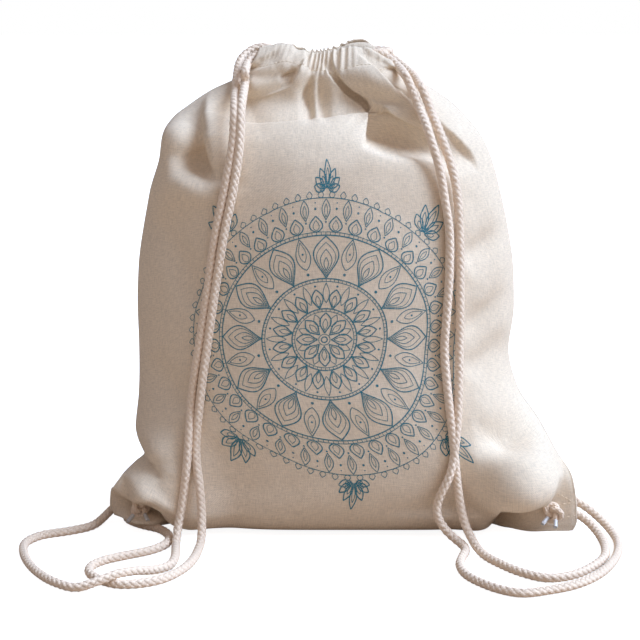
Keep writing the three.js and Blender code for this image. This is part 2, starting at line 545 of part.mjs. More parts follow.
function knotGeometry(ear) {
  const knot = new THREE.TorusKnotGeometry(KNOT_RADIUS, KNOT_CORD_RADIUS, KNOT_STEPS, KNOT_SIDES);
  knot.rotateX(Math.PI / 2);
  knot.rotateZ(ear.knotTurn);
  knot.translate(ear.knotX, ear.knotY, ear.knotZ);
  return knot;
}

function tipGeometry(from, to) {
  const axis = new THREE.LineCurve3(new THREE.Vector3(...from), new THREE.Vector3(...to));
  return roundBar(TIP_RADIUS, axis, 1);
}

const bag = new THREE.Group();

function addPiece(name, geometry, material) {
  const mesh = new THREE.Mesh(geometry, material);
  mesh.name = name;
  bag.add(mesh);
}

addPiece("front_panel", piercedPanel(-1), clothMaterial());
addPiece("back_panel", piercedPanel(1), clothMaterial());
addPiece("front_tunnel", tunnelGeometry(-1), clothMaterial());
addPiece("back_tunnel", tunnelGeometry(1), clothMaterial());
const leftRun = runRoute(TUNNEL_LEFT_X, TUNNEL_RIGHT_X, UPPER_CORD_OFFSET);
const rightRun = runRoute(TUNNEL_RIGHT_X, TUNNEL_LEFT_X, LOWER_CORD_OFFSET);
addPiece("left_cord_run", cordGeometry(leftRun, RUN_STEPS), cordMaterial());
addPiece("right_cord_run", cordGeometry(rightRun, RUN_STEPS), cordMaterial());
for (const strand of STRANDS) {
  addPiece(strand.name, cordGeometry(strand.route, STRAND_STEPS), cordMaterial());
}
for (const ear of EARS) {
  addPiece(`${ear.side}_knot`, knotGeometry(ear), cordMaterial());
}
for (const tip of TIPS) {
  addPiece(tip.name, tipGeometry(tip.from, tip.to), tipMaterial());
}

export default bag;
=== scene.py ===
"""Looks of a drawstring gym bag of unbleached cotton, stuffed full, standing and drawn shut.

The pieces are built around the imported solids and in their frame: metres, +Z up, the front faces -Y.
The tables below are in millimetres and are turned into metres where a mesh is made.
"""

import math
from functools import lru_cache

import bpy
import numpy as np
from bpy.props import FloatProperty, FloatVectorProperty, IntProperty, PointerProperty
from bpy.types import Operator, Panel, PropertyGroup
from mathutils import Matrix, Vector


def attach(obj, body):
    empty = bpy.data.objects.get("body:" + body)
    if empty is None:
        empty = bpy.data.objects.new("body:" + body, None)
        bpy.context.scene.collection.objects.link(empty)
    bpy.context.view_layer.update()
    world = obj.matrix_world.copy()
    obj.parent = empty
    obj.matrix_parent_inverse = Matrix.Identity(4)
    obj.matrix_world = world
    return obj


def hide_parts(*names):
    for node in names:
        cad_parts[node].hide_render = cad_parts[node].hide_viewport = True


bl_info = {
    "name": "Drawstring gym bag",
    "version": (1, 0, 0),
    "blender": (4, 5, 0),
    "location": "View3D > Sidebar > Gym bag",
    "description": "Builds a stuffed cotton drawstring bag around its solids",
    "category": "Object",
}

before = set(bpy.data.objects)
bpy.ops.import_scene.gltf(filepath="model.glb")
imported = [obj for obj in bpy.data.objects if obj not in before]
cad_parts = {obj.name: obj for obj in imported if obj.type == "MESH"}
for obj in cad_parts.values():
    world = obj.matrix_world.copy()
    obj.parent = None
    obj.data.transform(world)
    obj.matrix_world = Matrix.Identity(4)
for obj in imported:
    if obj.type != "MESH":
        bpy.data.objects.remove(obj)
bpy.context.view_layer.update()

MM = 0.001
BODY = "root"
# The way that a panel or tunnel faces, along y.
FRONT = -1
BACK = 1

# Each panel's cut, before it is gathered: width and length.
FLAT_WIDTH = 380
FLAT_LENGTH = 460

# Sections of the bag from the bottom seam to the tunnel, as in the solids.
SECTION_COLUMNS = ("along", "left_x", "left_z", "right_x", "right_z", "root_left", "root_right",
                   "mid_z", "front", "back", "square", "soft", "wrap")
SECTIONS = (
    (0, -178, 8.5, 178, 2, -118, 112, 0, 0, 0, 4, 0.8, 0.3),
    (0.04, -181.2, 17, 180, 6, -122, 115, 0, 24, 22, 4, 0.8, 0.3),
    (0.08, -180.4, 27.5, 181, 10, -128, 118, 0, 46, 42, 4, 0.8, 0.3),
    (0.12, -175.6, 37.5, 180.8, 15, -158, 119, 6.5, 65, 61, 3, 0.8, 0.35),
    (0.145, -171.5, 43, 180.5, 20.5, -164, 120, 16, 73, 71, 2.88, 0.77, 0.41),
    (0.152, -170.4, 44.5, 180.3, 23, -166, 121, 19.5, 75, 73, 2.85, 0.76, 0.43),
    (0.158, -169.3, 45.9, 180, 25.5, -167, 150, 22.5, 76.5, 75, 2.82, 0.755, 0.44),
    (0.167, -167.6, 47.8, 179.6, 29, -166.2, 156, 26.5, 78.5, 77, 2.78, 0.74, 0.46),
    (0.2, -160, 54, 176.5, 45, -159, 166, 43, 83, 83, 2.6, 0.7, 0.55),
    (0.25, -153.6, 59, 166, 61, -153.6, 165, 66, 86.5, 86, 2.6, 0.6, 0.65),
    (0.31, -161.8, 76, 154, 82, -161.5, 154, 92, 89, 89, 2.5, 0.55, 0.75),
    (0.38, -160, 103, 138, 105, -160, 138, 121, 90, 90, 2.4, 0.5, 0.8),
    (0.46, -159.5, 136, 131, 136, -159.5, 131, 154, 90, 90, 2.3, 0.5, 0.8),
    (0.54, -160, 170, 134.5, 170, -160, 134.5, 187, 90, 89, 2.2, 0.5, 0.8),
    (0.61, -158.5, 202, 133, 202, -158.5, 133, 216, 89.5, 88, 2.1, 0.5, 0.8),
    (0.67, -154, 232, 128, 232, -154, 128, 241, 88.5, 87, 2.05, 0.5, 0.78),
    (0.72, -147.5, 260, 122, 258, -148, 122, 263, 86.5, 85, 2, 0.5, 0.75),
    (0.765, -139, 286, 115.5, 281, -140, 115.5, 285, 81, 81, 2, 0.5, 0.7),
    (0.8, -135.5, 306, 107, 300, -136.5, 107, 301, 71, 74, 2.1, 0.5, 0.6),
    (0.835, -128.4, 316.5, 96, 314, -129, 96, 313, 57, 62, 2.3, 0.5, 0.5),
    (0.87, -117, 325, 84, 326, -117, 84, 322, 44, 48, 2.6, 0.5, 0.4),
    (0.91, -100, 336, 68, 337, -100, 68, 331, 33, 34, 3, 0.5, 0.3),
    (0.95, -81, 345, 50, 347, -81, 50, 340, 29, 29, 4, 0.5, 0.2),
    (0.975, -70, 355, 40, 354, -70, 40, 349, 25, 25, 8, 0.5, 0.1),
    (0.993, -64.5, 364.5, 37, 359, -64.5, 37, 360, 18.6, 18.6, 8, 0.5, 0.1),
    (1, -63, 368.5, 36.5, 361, -63, 36.5, 366, 13, 13, 8, 0.5, 0.1),
)
# Towards the sides: share of the width where the rows leave their level, and the ramps of their way to the side
# seam and of the cloth's rise beside it.
LEVEL_SHARE = 0.62
LEVEL_RAMP = 0.9
FLAT_RAMP = 0.6
# Along the cloth: where and how sharply the rows begin to follow the tunnels' dip, where the hem is sewn,
# how far the mouth opens there, how far the rim stands over the tunnels, and where the main folds end.
DIP_START = 0.9
DIP_POWER = 1.6
HEM_AT = 0.975
HEM_BLEND = 0.01
MOUTH_OPENING = 0.25
RIM_RISE = 1
FOLD_END = 0.93
# How close to the side seams the folds run, and the points along a main fold.
FOLD_EDGE = 8
FOLD_SAMPLES = 24
# Side seams: gap between the panels, rise of the cloth beside it, and the share of the width that is pinched.
SEAM_GAP = 0.1
SEAM_RISE = 1.5
SEAM_RIM = 0.022
# Rows of the mesh: share of them below the given share of the cloth's length.
LOW_ROWS = 0.42
LOW_END = 0.7
# Small unevenness of the cloth: depth, cells across, and seed of each panel.
UNEVEN_DEPTH = 0.8
UNEVEN_CELLS = 14
UNEVEN_SEED = {FRONT: 4, BACK: 6}
# Where the cloth comes clear of the flat base, along it and to the sides, and how deep its small folds may be.
CLEAR_ALONG = (0.1, 0.16)
CLEAR_X = (104, 118)
DEEPEST_SHARE = 0.85
HEM_DEEPEST = 1.6
# Rounds of easing for the way that small folds stand out, and for the folded cloth.
NORMAL_EASE = 20
CLOTH_EASE = 2

# Ears of the lower corners, standing forward of the side seams: reach, and ramps outwards and upwards.
EAR_FORWARD = {"left": 38, "right": 56}
EAR_START_X = (80, 150)
EAR_END_Z = (35, 120)
# Lips of the left ear under and over its slot: reach, ramps to the left and upwards, and the slot's upper edge.
LIP_FORWARD = 18
UNDER_START_X = (120, 150)
UNDER_END_X = (160, 178)
UNDER_END_Z = (7, 13)
SLOT_X = (-180, -166, -150, -125)
SLOT_Z = (32, 31.5, 27, 14)
OVER_START_X = (130, 152)
OVER_START_Z = (-1.5, 2.5)
OVER_END_Z = (8, 45)
# Left shoulder, curled forward: reach, and ramps to the left and upwards.
SHOULDER_FORWARD = 24
SHOULDER_START_X = (95, 135)
SHOULDER_START_Z = (235, 280)
SHOULDER_END_Z = (300, 340)
# How square the low right of the belly is along the cloth, where it stands up beside the ear.
LOW_SHARES = (0, 0.152, 0.158, 0.2)
LOW_SQUARES = (10, 10, 2.82, 2.6)

# Main folds, as in the solids: start, middle and end seen square from the front, the three rises, and the
# half widths above and below the fold's line.
FRONT_FOLDS = (
    ("shoulder lip", -99, 318, -38, 319, 20, 324, 2, 5, 5, 7, 15),
    ("pocket", -4, 354, 30, 313, 97, 288, -4, -9, -4, 11, 12),
    ("flute over the pocket", 0, 352, 38, 340, 78, 304, 2, 9, 4, 12, 9),
    ("flute behind", 24, 354, 60, 338, 86, 316, 2, 6, 3, 10, 8),
    ("left ridge", -92, 336, -98, 312, -93, 274, 2, 6, 1, 9, 9),
    ("left dimple", -126, 294, -115, 287, -104, 281, -4, -9, -5, 13, 10),
    ("rim under the dimple", -124, 270, -108, 268, -90, 269, 1, 5, 2, 8, 12),
    ("left crease at the centre", -26, 342, -26, 332, -25, 320, -3, -5, -2, 5, 5),
    ("right crease at the centre", -14, 342, -14, 332, -12, 320, -3, -5, -2, 5, 5),
    ("left shoulder ridge", -46, 350, -74, 341, -108, 325, 2, 5, 2, 9, 8),
    ("left shoulder crease", -40, 341, -62, 330, -92, 321, -3, -6, -2, 7, 8),
    ("upper right dent", 116, 250, 108, 225, 98, 200, 0, -4, 0, 12, 12),
    ("lower right dent", 106, 182, 100, 165, 92, 148, 0, -3, 0, 12, 12),
    ("left ear pinch", -157, 57, -148, 47, -140, 34, -6, -9, -2, 7, 7),
    ("left ear crease", -170, 45, -142, 37, -114, 29, 0, -4, -1, 7, 7),
)
BACK_FOLDS = (
    ("left back flute", -40, 350, -66, 338, -104, 306, 2, 7, 2, 10, 10),
    ("left back crease", -30, 345, -50, 325, -84, 292, -3, -8, -2, 9, 9),
    ("right back crease", 2, 345, 26, 326, 66, 294, -3, -8, -2, 9, 9),
    ("right back flute", 10, 350, 42, 338, 80, 308, 2, 7, 2, 10, 10),
)
MAIN_FOLDS = {FRONT: FRONT_FOLDS, BACK: BACK_FOLDS}

# Crisp folds of the front, placed as the camera sees them on the upright plane through the middle: name, power,
# half width on the left and on the right of the way along the fold, and its points with their rise, or with one
# for each side. A power of 2 makes a round fold and 1 a sharp one.
CRISP_FOLDS = (
    ("shelf", 1.3, 13, 15, (
        (-107.8, 314.4, 0), (-99, 313.9, -2, -1), (-88.4, 313.5, -5, -1), (-77.8, 313.3, -7, -1),
        (-49.7, 312.6, -8, -1), (-25, 315.1, -8, -1), (-3.9, 317.2, -8, -1), (11.9, 319.1, -8, -1),
        (19.5, 320.5, -8, -1), (21.8, 319.6, -8, -1), (21.8, 316.2, -8, 0), (20.9, 309.3, -7, 0),
        (19.7, 302.4, -4, 0), (18.7, 295.5, 0),
    )),
    ("left ridge", 1.25, 10, 6, (
        (-98.2, 338.6, 0), (-100.7, 329.5, 6), (-101.5, 320.3, 10), (-101.3, 312.7, 12), (-99, 305, 12),
        (-97.2, 295.8, 11), (-95.8, 285.8, 9), (-95.2, 275.8, 6), (-96.1, 266.5, 0),
    )),
    ("left valley", 2, 8, 9, (
        (-109.3, 306, 0), (-109.5, 293.7, -3), (-107.9, 279.5, -4), (-104, 267.1, -3), (-100.5, 258.1, 0),
    )),
    ("left lobe", 2, 24, 9, (
        (-127.5, 321.9, 0), (-132.3, 312.7, 5), (-134.4, 302.7, 10), (-135, 292, 11), (-132.8, 281.9, 7),
        (-127.6, 272.7, 0),
    )),
    ("tube lip", 1.3, 5, 6, (
        (-72.9, 356, 0), (-68.7, 357.3, 1, -3), (-59.2, 359.7, 1.5, -3), (-53.7, 362.7, 1, -2),
        (-48.5, 366.2, 0),
    )),
    ("hem ridge", 1.3, 4, 8, (
        (-74.5, 346.6, 0), (-71.1, 347.5, 2), (-65.3, 349.6, 3), (-59.2, 351.3, 3), (-53.1, 354.3, 3),
        (-46.9, 358.7, 2), (-41.6, 364.7, 0),
    )),
    ("shoulder valley", 2, 6, 6, (
        (-69.2, 341.6, 0), (-61.6, 343.5, -3), (-52.4, 346.2, -4), (-43.2, 351.5, 0),
    )),
    ("slit", 1.3, 2.5, 3.5, (
        (-47.5, 341.3, 0), (-45.2, 343.3, -5), (-40.9, 347.3, -7), (-37.9, 350.3, -5), (-35.2, 353, 0),
    )),
    ("facet and shoulder ridge", 1.3, 10, 9, (
        (-28.3, 361.3, 0), (-30.9, 356.4, 2, -2), (-33.4, 351.9, 3.5, -4), (-37.4, 344.5, 4, -5),
        (-40.1, 339.5, 4, -5), (-48.4, 335.7, 4, 1), (-56.6, 333, 5, 4), (-64.8, 330.2, 4),
        (-72.4, 327.2, 0),
    )),
    ("centre crease left", 1.3, 2.4, 2.4, (
        (-22.3, 353.7, 0), (-25.3, 339.4, -5), (-27.6, 332.5, -6), (-26.1, 328, -5), (-25, 321.9, -5),
        (-25.1, 316.9, -4),
    )),
    ("centre pleat", 1.6, 3.5, 3.5, (
        (-19.7, 350.7, 0), (-21, 339.4, 1), (-21.5, 329.5, 1.5), (-21.1, 318, 1),
    )),
    ("centre crease right", 1.3, 2.4, 2.6, (
        (-18.4, 350.7, 0), (-17.6, 341.6, -4), (-16.7, 333.7, -5), (-15.2, 324.1, -5), (-14, 318, -4),
    )),
    ("lobe edge", 1.3, 6, 12, (
        (-18.1, 358.3, 0), (-12.7, 351.3, -1.5, 2), (-4.7, 340.7, -3, 4), (1.8, 333.8, -4, 4),
        (10.6, 328.9, -4, 4), (17.9, 324.5, -3, 3), (21.8, 318.4, -2, 0),
    )),
    ("flute lower edge", 1.3, 16, 6, (
        (-8.9, 362, 0), (-6.6, 352.2, 3, -1.5), (-1.3, 343.9, 6, -2), (5.6, 337.8, 8, -2.5),
        (13.3, 332.1, 9, -3), (24, 324.1, 9, -3), (35.6, 318, 7, -3), (48.6, 311.5, 4, -2),
        (61.8, 304.3, 0),
    )),
    ("flute upper edge", 1.2, 7, 9, (
        (10.1, 364.3, 0), (20, 356, -3, 2), (26.8, 349.2, -5, 3), (35.8, 341.1, -6, 3),
        (44, 334.3, -5, 2.5), (50.2, 328.9, -3, 1), (54.6, 323.4, 0),
    )),
    ("back flute lip", 1.2, 6, 6, (
        (13.1, 370.3, 0), (19.2, 364.8, 2, -2), (25.3, 360.7, 2.5, -3), (32.9, 356.7, 2, -3),
        (40.6, 350.7, 0),
    )),
    ("right point crease", 1.6, 12, 15, (
        (63.1, 320.3, 0), (71.6, 313.5, 0.6, -1.2), (80.2, 305.4, 1.5, -3), (88, 297.4, 2.4, -5),
        (95.8, 288.9, 2.6, -5.5), (101.3, 281.2, 1.6, -3), (104.6, 273.4, 0),
    )),
    ("pocket rim", 1.7, 12, 14, (
        (16.5, 294.3, 0), (22.7, 290.8, 0, 2), (28.9, 287.8, 0, 2.5), (41.2, 285, 0, 2.5),
        (52, 283.3, 0, 2.5), (63.6, 281.2, 0, 1.5), (75.2, 277.7, 0, 0.8), (89.1, 272.7, 0),
    )),
    ("lower right valley", 2, 16, 16, (
        (102.3, 48.4, 0), (114.2, 53.4, -5), (124.4, 60, -9), (137.8, 68.2, -10), (150.4, 72.3, -7),
        (161.6, 71.5, 0),
    )),
    ("belly edge", 1.3, 18, 8, (
        (117.8, -11.6, 0), (122, -4.5, 4, 0), (126.7, 2.1, 6, 0), (141.3, 4.1, 7, -3),
        (159.7, 5.9, 7, -3), (163.7, 10.7, 6, 0), (165.4, 17.8, 6, 0), (169.4, 24.7, 6, 0),
        (177.6, 28, 5, 0), (184.8, 30.2, 3, 0),
    )),
    ("left ear upper lip", 1.3, 14, 6, (
        (-186.1, 13.4, 12, 0), (-179.1, 13.4, 14, 0), (-173, 13.4, 14, 0), (-163.5, 11.4, 13, 0),
        (-153.1, 7.7, 11, 0), (-142.8, 2.3, 9, 0), (-133.3, -4.3, 3, 0), (-128.2, -7.7, 0),
    )),
    ("left ear lower lip", 1.3, 3, 8, (
        (-184.5, 7.7, 0, 1), (-182, 2.3, 0, 2), (-176.8, -0.5, 0, 3), (-164.6, 0.5, 0, 3),
        (-153.4, -4.1, 0, 3), (-143, -6.4, 0, 2), (-133.3, -5, 0),
    )),
    ("left ear pit", 2, 3.5, 3.5, (
        (-157.5, 48.4, 0), (-156.3, 44.8, -5), (-155.5, 41.2, 0),
    )),
    ("left ear valley", 1.2, 15, 5, (
        (-155.7, 50.6, 0), (-153.2, 47.5, 5, 0), (-149.9, 42.1, 7, -2), (-146.5, 34.9, 7, -3),
        (-143.4, 28.1, 5, -2), (-141.6, 22.2, 0),
    )),
    ("left ear ridge", 2, 5, 5, (
        (-166.4, 37.6, 0), (-160.4, 34, 2.5), (-152.7, 29.5, 3), (-145, 24.5, 3), (-137.2, 20.9, 2),
        (-127.7, 19.1, 0),
    )),
    ("belly cushion", 2, 20, 10, (
        (115.8, 14.3, 0), (131, 16, 6), (147, 16, 8), (161.3, 21, 7), (171.4, 31.8, 4), (179.2, 40.1, 0),
    )),
    ("dimple rim", 2, 9, 14, (
        (-137.5, 281.2, 0), (-132.2, 275.8, 3), (-120, 266.5, 5), (-107.3, 262.2, 5), (-95.3, 265.7, 2),
        (-88.3, 269.6, 0),
    )),
    ("flank hollow", 1.7, 20, 13, (
        (107, 57.5, 0), (118.1, 59.2, -4), (131.6, 61.6, -10), (144.2, 64.1, -13), (154.4, 71.5, -9),
        (161.3, 83, 0),
    )),
    ("right flank crease high", 1.8, 8, 11, (
        (93.4, 200.6, 0), (101.1, 208.5, -4.6), (111.8, 218, -6.1), (121, 226.6, -3), (126.3, 231.4, 0),
    )),
    ("right flank crease middle", 1.8, 8, 11, (
        (94.4, 144.8, 0), (105.2, 154.4, -4.6), (116, 164.8, -6.5), (125.9, 176.8, -3.8), (132, 184.8, 0),
    )),
    ("right flank crease low", 1.8, 9, 11, (
        (96.5, 110.8, 0), (108.9, 122.1, -3.8), (121.3, 135.1, -4.6), (130.5, 148, 0),
    )),
    ("left flank crease high", 1.8, 12, 9, (
        (-149.1, 240, 0), (-139.3, 222.7, -5.7), (-128, 202.2, -7.2), (-116.7, 178.4, -4.6),
        (-111.4, 164, 0),
    )),
    ("left flank crease low", 1.8, 12, 9, (
        (-154.4, 130.2, 0), (-143.7, 114, -5.7), (-132.9, 96.1, -6.5), (-123.7, 78.1, 0),
    )),
    ("left flank ridge", 1.8, 12, 9, (
        (-160.5, 66.6, 0), (-149.6, 51.7, 6.1), (-137.2, 35.1, 7.2), (-124.7, 16.8, 0),
    )),
)

# Folds that fall straight back from the front, laid out in the same way, with soft edges.
DEEP_FOLDS = (
    ("pocket hollow", 2, 20, 6, (
        (5.8, 295, -34, 0), (13.5, 293.9, -36, 0), (23.1, 291.2, -38, 0), (29.6, 288.9, -41, 0),
        (38.9, 286.6, -40, 0), (48.9, 285, -31, 0), (59.7, 283.1, -19, 0), (72.1, 280, -9, 0),
        (87.6, 274.2, 0),
    )),
    ("left hollow", 1.6, 6, 24, (
        (-104.6, 320.3, 0, -2), (-101.7, 305, 0, -8), (-99.2, 289.7, 0, -12), (-97.5, 275.8, 0, -10),
        (-96.8, 266.5, 0),
    )),
)
# Half width over which the two sides of a deep or crisp fold meet, step along a fold, and its reach in widths.
DEEP_EDGE = 5
CRISP_EDGE = 0.01
FOLD_STEP = 2
FOLD_REACH = 3

# Upright side of the pocket, where the flap of the fold beside it ends.
POCKET_SIDE_X = (17.7, 18.7, 19.9, 21.1, 22.0, 22.8, 23.0)
POCKET_SIDE_Z = (285.0, 292.7, 299.7, 305.8, 312.7, 317.3, 321.9)
POCKET_SIDE_EDGE = 2

# Gathered tunnels: the middle line dips between the two ends where the cords come out.
TUNNEL_LEFT_X = -55
TUNNEL_RIGHT_X = 24
TUNNEL_LEFT_Z = 357
TUNNEL_DIP_Z = 352
TUNNEL_RIGHT_Z = 361
TUNNEL_HALF_DEPTH = 7
TUNNEL_FROM_MIDDLE = 11.5
TUNNEL_OVERRUN = 1.2
# Cloth of a tunnel: how far it goes past the ends and keeps inside the edges and the depth, its share of the
# panel's thickness and length, and the mesh's rings and their sides.
TUNNEL_PAST_LEFT = 6
TUNNEL_PAST_RIGHT = 9
TUNNEL_TOP_INSET = 1.2
TUNNEL_HEM_INSET = 1
TUNNEL_SLACK = 1.6
TUNNEL_THINNING = 0.7
TUNNEL_CLOTH = 0.13
TUNNEL_RINGS = 220
TUNNEL_SIDES = 28
# Top edges and hems of the tunnels across the bag: x, front top, back top, hem.
TUNNEL_EDGES = (
    (-64, 369.5, 369, 353.5), (-52, 370.3, 369.6, 356), (-42, 369.6, 369, 359), (-36, 368, 367.5, 358.5),
    (-31, 365, 365.5, 355.5), (-22, 363.8, 364.5, 352), (-10, 365, 366, 351), (-2, 366.8, 368.5, 351.5),
    (6, 368, 371.5, 353), (14, 367.5, 372.5, 354), (22, 366.5, 371, 354), (28, 364.5, 367, 353.5),
    (36, 360, 361, 352.5),
)
TOP_COLUMN = {FRONT: 1, BACK: 2}
HEM_COLUMN = 3
# Gathers: count, least depth, and the middle, half width and power of their swelling. Then the depth of the
# panels' gathers, where these start along the cloth, and the waves that make the pleats uneven.
PANEL_PLEATS = (22, 0.08, -16, 19, 4)
TUNNEL_PLEATS = (24, 0.1, -18, 20, 2)
PLEAT_DEPTH = 1.7
GATHER_START = (0.95, 0.99)
PLEAT_UNEVENNESS = ((0.05, 7, 0), (0.03, 13, 1))

# Cords inside the tunnels, one above the other.
UPPER_CORD_OFFSET = 4
LOWER_CORD_OFFSET = -4
CORD_GAP = 0.3
RUN_LEVEL = 5.5
RUN_SHARES = (0.3, 0.5, 0.7, 1)
RUN_TURN_POINTS = 5

# Braid: shares of its radius for the yarns' sway, half thickness and half width and for the core, yarns
# each way, corners of a yarn, and how much fuller the soft braid is than the cord pulled tight.
BRAID_SHARES = (0.11, 0.28, 0.52, 0.62)
BRAID_YARNS = 4
YARN_CORNERS = 6
BRAID_FULLNESS = 1.28
CORD_STEP = 1.0
CORD_EASE = 6
SPLINE_SAMPLES = 60

# Front of the cloth under the strands: size of a cell, low corner in x and z, and cells across and up.
LAY_CELL = 3
LAY_LOW = (-260, 0)
LAY_CELLS = (180, 140)
# Ramps of height and depth where a strand begins to hang, and how far, steeply and softly it bridges hollows.
HANG_Z = (40, 70)
HANG_FORWARD = (20, 34)
BRIDGE_STEPS = 30
BRIDGE_SLOPE = 0.12
BRIDGE_EASE = 60

# Knots in front of the ears' holes: middle and turn.
KNOTS = {
    "left": ((-156.5, -47, 17), 0.5),
    "right": ((161, -64.8, 19), -0.5),
}
KNOT_RADIUS = 4.4
KNOT_CORD_RADIUS = 2.3
KNOT_PITCH = 14
KNOT_STEP = 0.6
KNOT_POINTS = 400

# Shrunk-on cord tips, from the knot outwards.
TIPS = {
    "left_tip_a": ((-161.9, -50.5, 12.4), (-165.5, -55.9, 9)),
    "left_tip_b": ((-152.8, -50.3, 12.9), (-149.8, -56.5, 10)),
    "right_tip_a": ((156.9, -66, 15.6), (152.4, -70.6, 11.6)),
    "right_tip_b": ((162.4, -69.5, 14.6), (161.6, -76, 11)),
}
TIP_RADIUS = 1.6
TIP_SIDES = 20
# Shares of a tip's length and radius, along the tube and back into its open end.
TIP_PROFILE = (
    (0, 0.55), (0, 0.92), (0.06, 1), (0.3, 0.95), (0.6, 0.97), (0.93, 1), (1, 0.93), (1, 0.7), (0.88, 0.66),
    (0.86, 0.1),
)

# Routes of the free strands, as in the solids, from the tunnel's end to the ear's hole.
STRANDS = {
    "left_outer_strand": (
        (-55.9, 11.5, 366.8), (-61.5, 11.3, 367.8), (-67, 10.5, 366.7), (-72.5, 8, 363.6),
        (-77, 2, 359.4), (-79, -6.2, 354.4), (-79.6, -17.4, 348.4), (-80, -30.6, 341.3),
        (-80.1, -44.4, 334.5), (-79.7, -58.3, 327.8), (-79.8, -71, 319.5), (-80.8, -81, 302.3),
        (-87.4, -82.5, 267), (-94.4, -82.5, 234), (-101.6, -82, 186), (-112.5, -80.5, 119),
        (-115, -80, 92), (-117.5, -80, 61), (-121, -80, 34), (-124.5, -83, 14), (-125.5, -92, 4.5),
        (-124.5, -107, 3), (-124, -122, 3), (-126.5, -138, 3), (-137, -153, 5), (-148, -164.5, 8.6),
        (-160, -174, 9.8), (-172, -181, 7.4), (-187, -184, 3.4), (-204, -173, 3), (-223, -147, 3),
        (-237, -110, 3), (-239, -87, 3), (-230, -71, 3), (-209, -60, 3), (-194, -48, 3),
        (-187.5, -34, 4.5), (-181, -24, 9), (-172, -19.5, 15), (-164.5, -21, 17.6), (-159.9, -30, 18.8),
        (-159.7, -41.2, 18.5),
    ),
    "left_inner_strand": (
        (-55.9, -11.5, 363.8), (-59.7, -12.2, 363.9), (-64.1, -13, 363.1), (-68.9, -15.2, 360.6),
        (-72, -20, 356.9), (-72.8, -27.2, 352.4), (-73, -37, 345.8), (-73.6, -47.3, 338.7),
        (-74.3, -57.7, 331.7), (-74.9, -68, 324.4), (-75.2, -79, 311), (-76.4, -83, 295.3),
        (-80.9, -84, 267), (-87.9, -84.5, 234), (-101.6, -84, 148), (-106.8, -83, 112), (-110.6, -82, 70),
        (-108, -82, 45), (-106.5, -83.5, 22), (-106.5, -91, 7), (-108, -106, 3.2), (-110.5, -126, 3),
        (-116.5, -146, 3), (-130, -167, 3), (-147, -176, 3), (-160, -176.5, 3), (-173, -168, 3),
        (-182.5, -154, 3), (-183.5, -140, 3), (-176, -127.5, 3), (-161, -116.5, 3), (-144, -105.5, 3),
        (-133.5, -92, 3), (-132, -74, 3), (-141, -56, 3), (-156, -45.5, 3), (-167, -34, 3.2),
        (-170, -22, 4), (-166, -9, 7.5), (-157, -4, 11.8), (-150.6, -12, 16.2), (-152.4, -26, 18.8),
        (-153.3, -41.2, 18.5),
    ),
    "right_outer_strand": (
        (24.9, 11.5, 365), (31, 10.8, 363.4), (38, 7, 359.6), (47, -2.8, 352.8), (54, -18, 347),
        (58, -34, 340.6), (61, -48.3, 333.5), (64, -57, 326), (67, -63, 318.5), (70, -66, 311),
        (73, -68.7, 302.8), (78.4, -70.8, 287.3), (82.5, -73, 271), (85.5, -76.5, 236), (86.5, -80, 150),
        (86, -84, 112), (85, -87.6, 88), (83.5, -88.4, 72), (80.5, -87.4, 56), (73.5, -85, 40),
        (70.5, -84.5, 28), (74, -85.5, 17), (82.5, -89, 8), (90, -96, 3.6), (91, -107, 3),
        (87.5, -120, 3), (84.5, -136, 3), (87, -156, 3), (97, -174, 3), (109, -187, 3), (123, -194, 3),
        (143, -188, 3), (164, -176.5, 3), (185.5, -152, 3), (203, -112, 3), (207.5, -82, 3.4),
        (205, -60, 5), (198, -46, 10), (188.5, -40, 16.5), (178, -37, 21.5), (168, -34.5, 23.5),
        (160.2, -38, 23.4), (157.4, -47, 21.5), (157.3, -58.6, 20.5),
    ),
    "right_inner_strand": (
        (24.9, -11.5, 365), (30.4, -12.2, 363.1), (35.8, -14, 359.5), (41, -18.5, 355),
        (45.3, -27.3, 350.2), (48.5, -37.5, 344.5), (51, -48.1, 338.1), (53.8, -57.1, 331.7),
        (56.8, -65.5, 324), (59.9, -68.7, 316.4), (62.5, -70.5, 308.8), (65.2, -70.5, 300.4),
        (69.9, -73, 285), (74.5, -76.5, 259), (77.5, -78, 241), (78, -80, 210), (76.3, -81.5, 176),
        (75, -82, 152), (76.8, -82.3, 128), (79, -82.4, 108), (81.5, -82.3, 88), (83.3, -82.1, 72),
        (85, -82, 56), (88, -83, 34), (92, -88, 17), (96, -96, 9.6), (99.5, -105, 5.2),
        (104.5, -117, 3.2), (114.5, -135, 3), (127, -152, 3), (143.5, -164, 3), (161, -159.5, 3),
        (178, -143.5, 3), (192, -120, 3), (196.5, -94, 3), (195.5, -74, 4.4), (190.5, -59, 8.4),
        (183, -49, 12), (175, -42.5, 13.4), (168.6, -40.4, 15.8), (165, -45, 19.2), (163.8, -51.5, 20.4),
        (163.7, -58.6, 20.5),
    ),
}

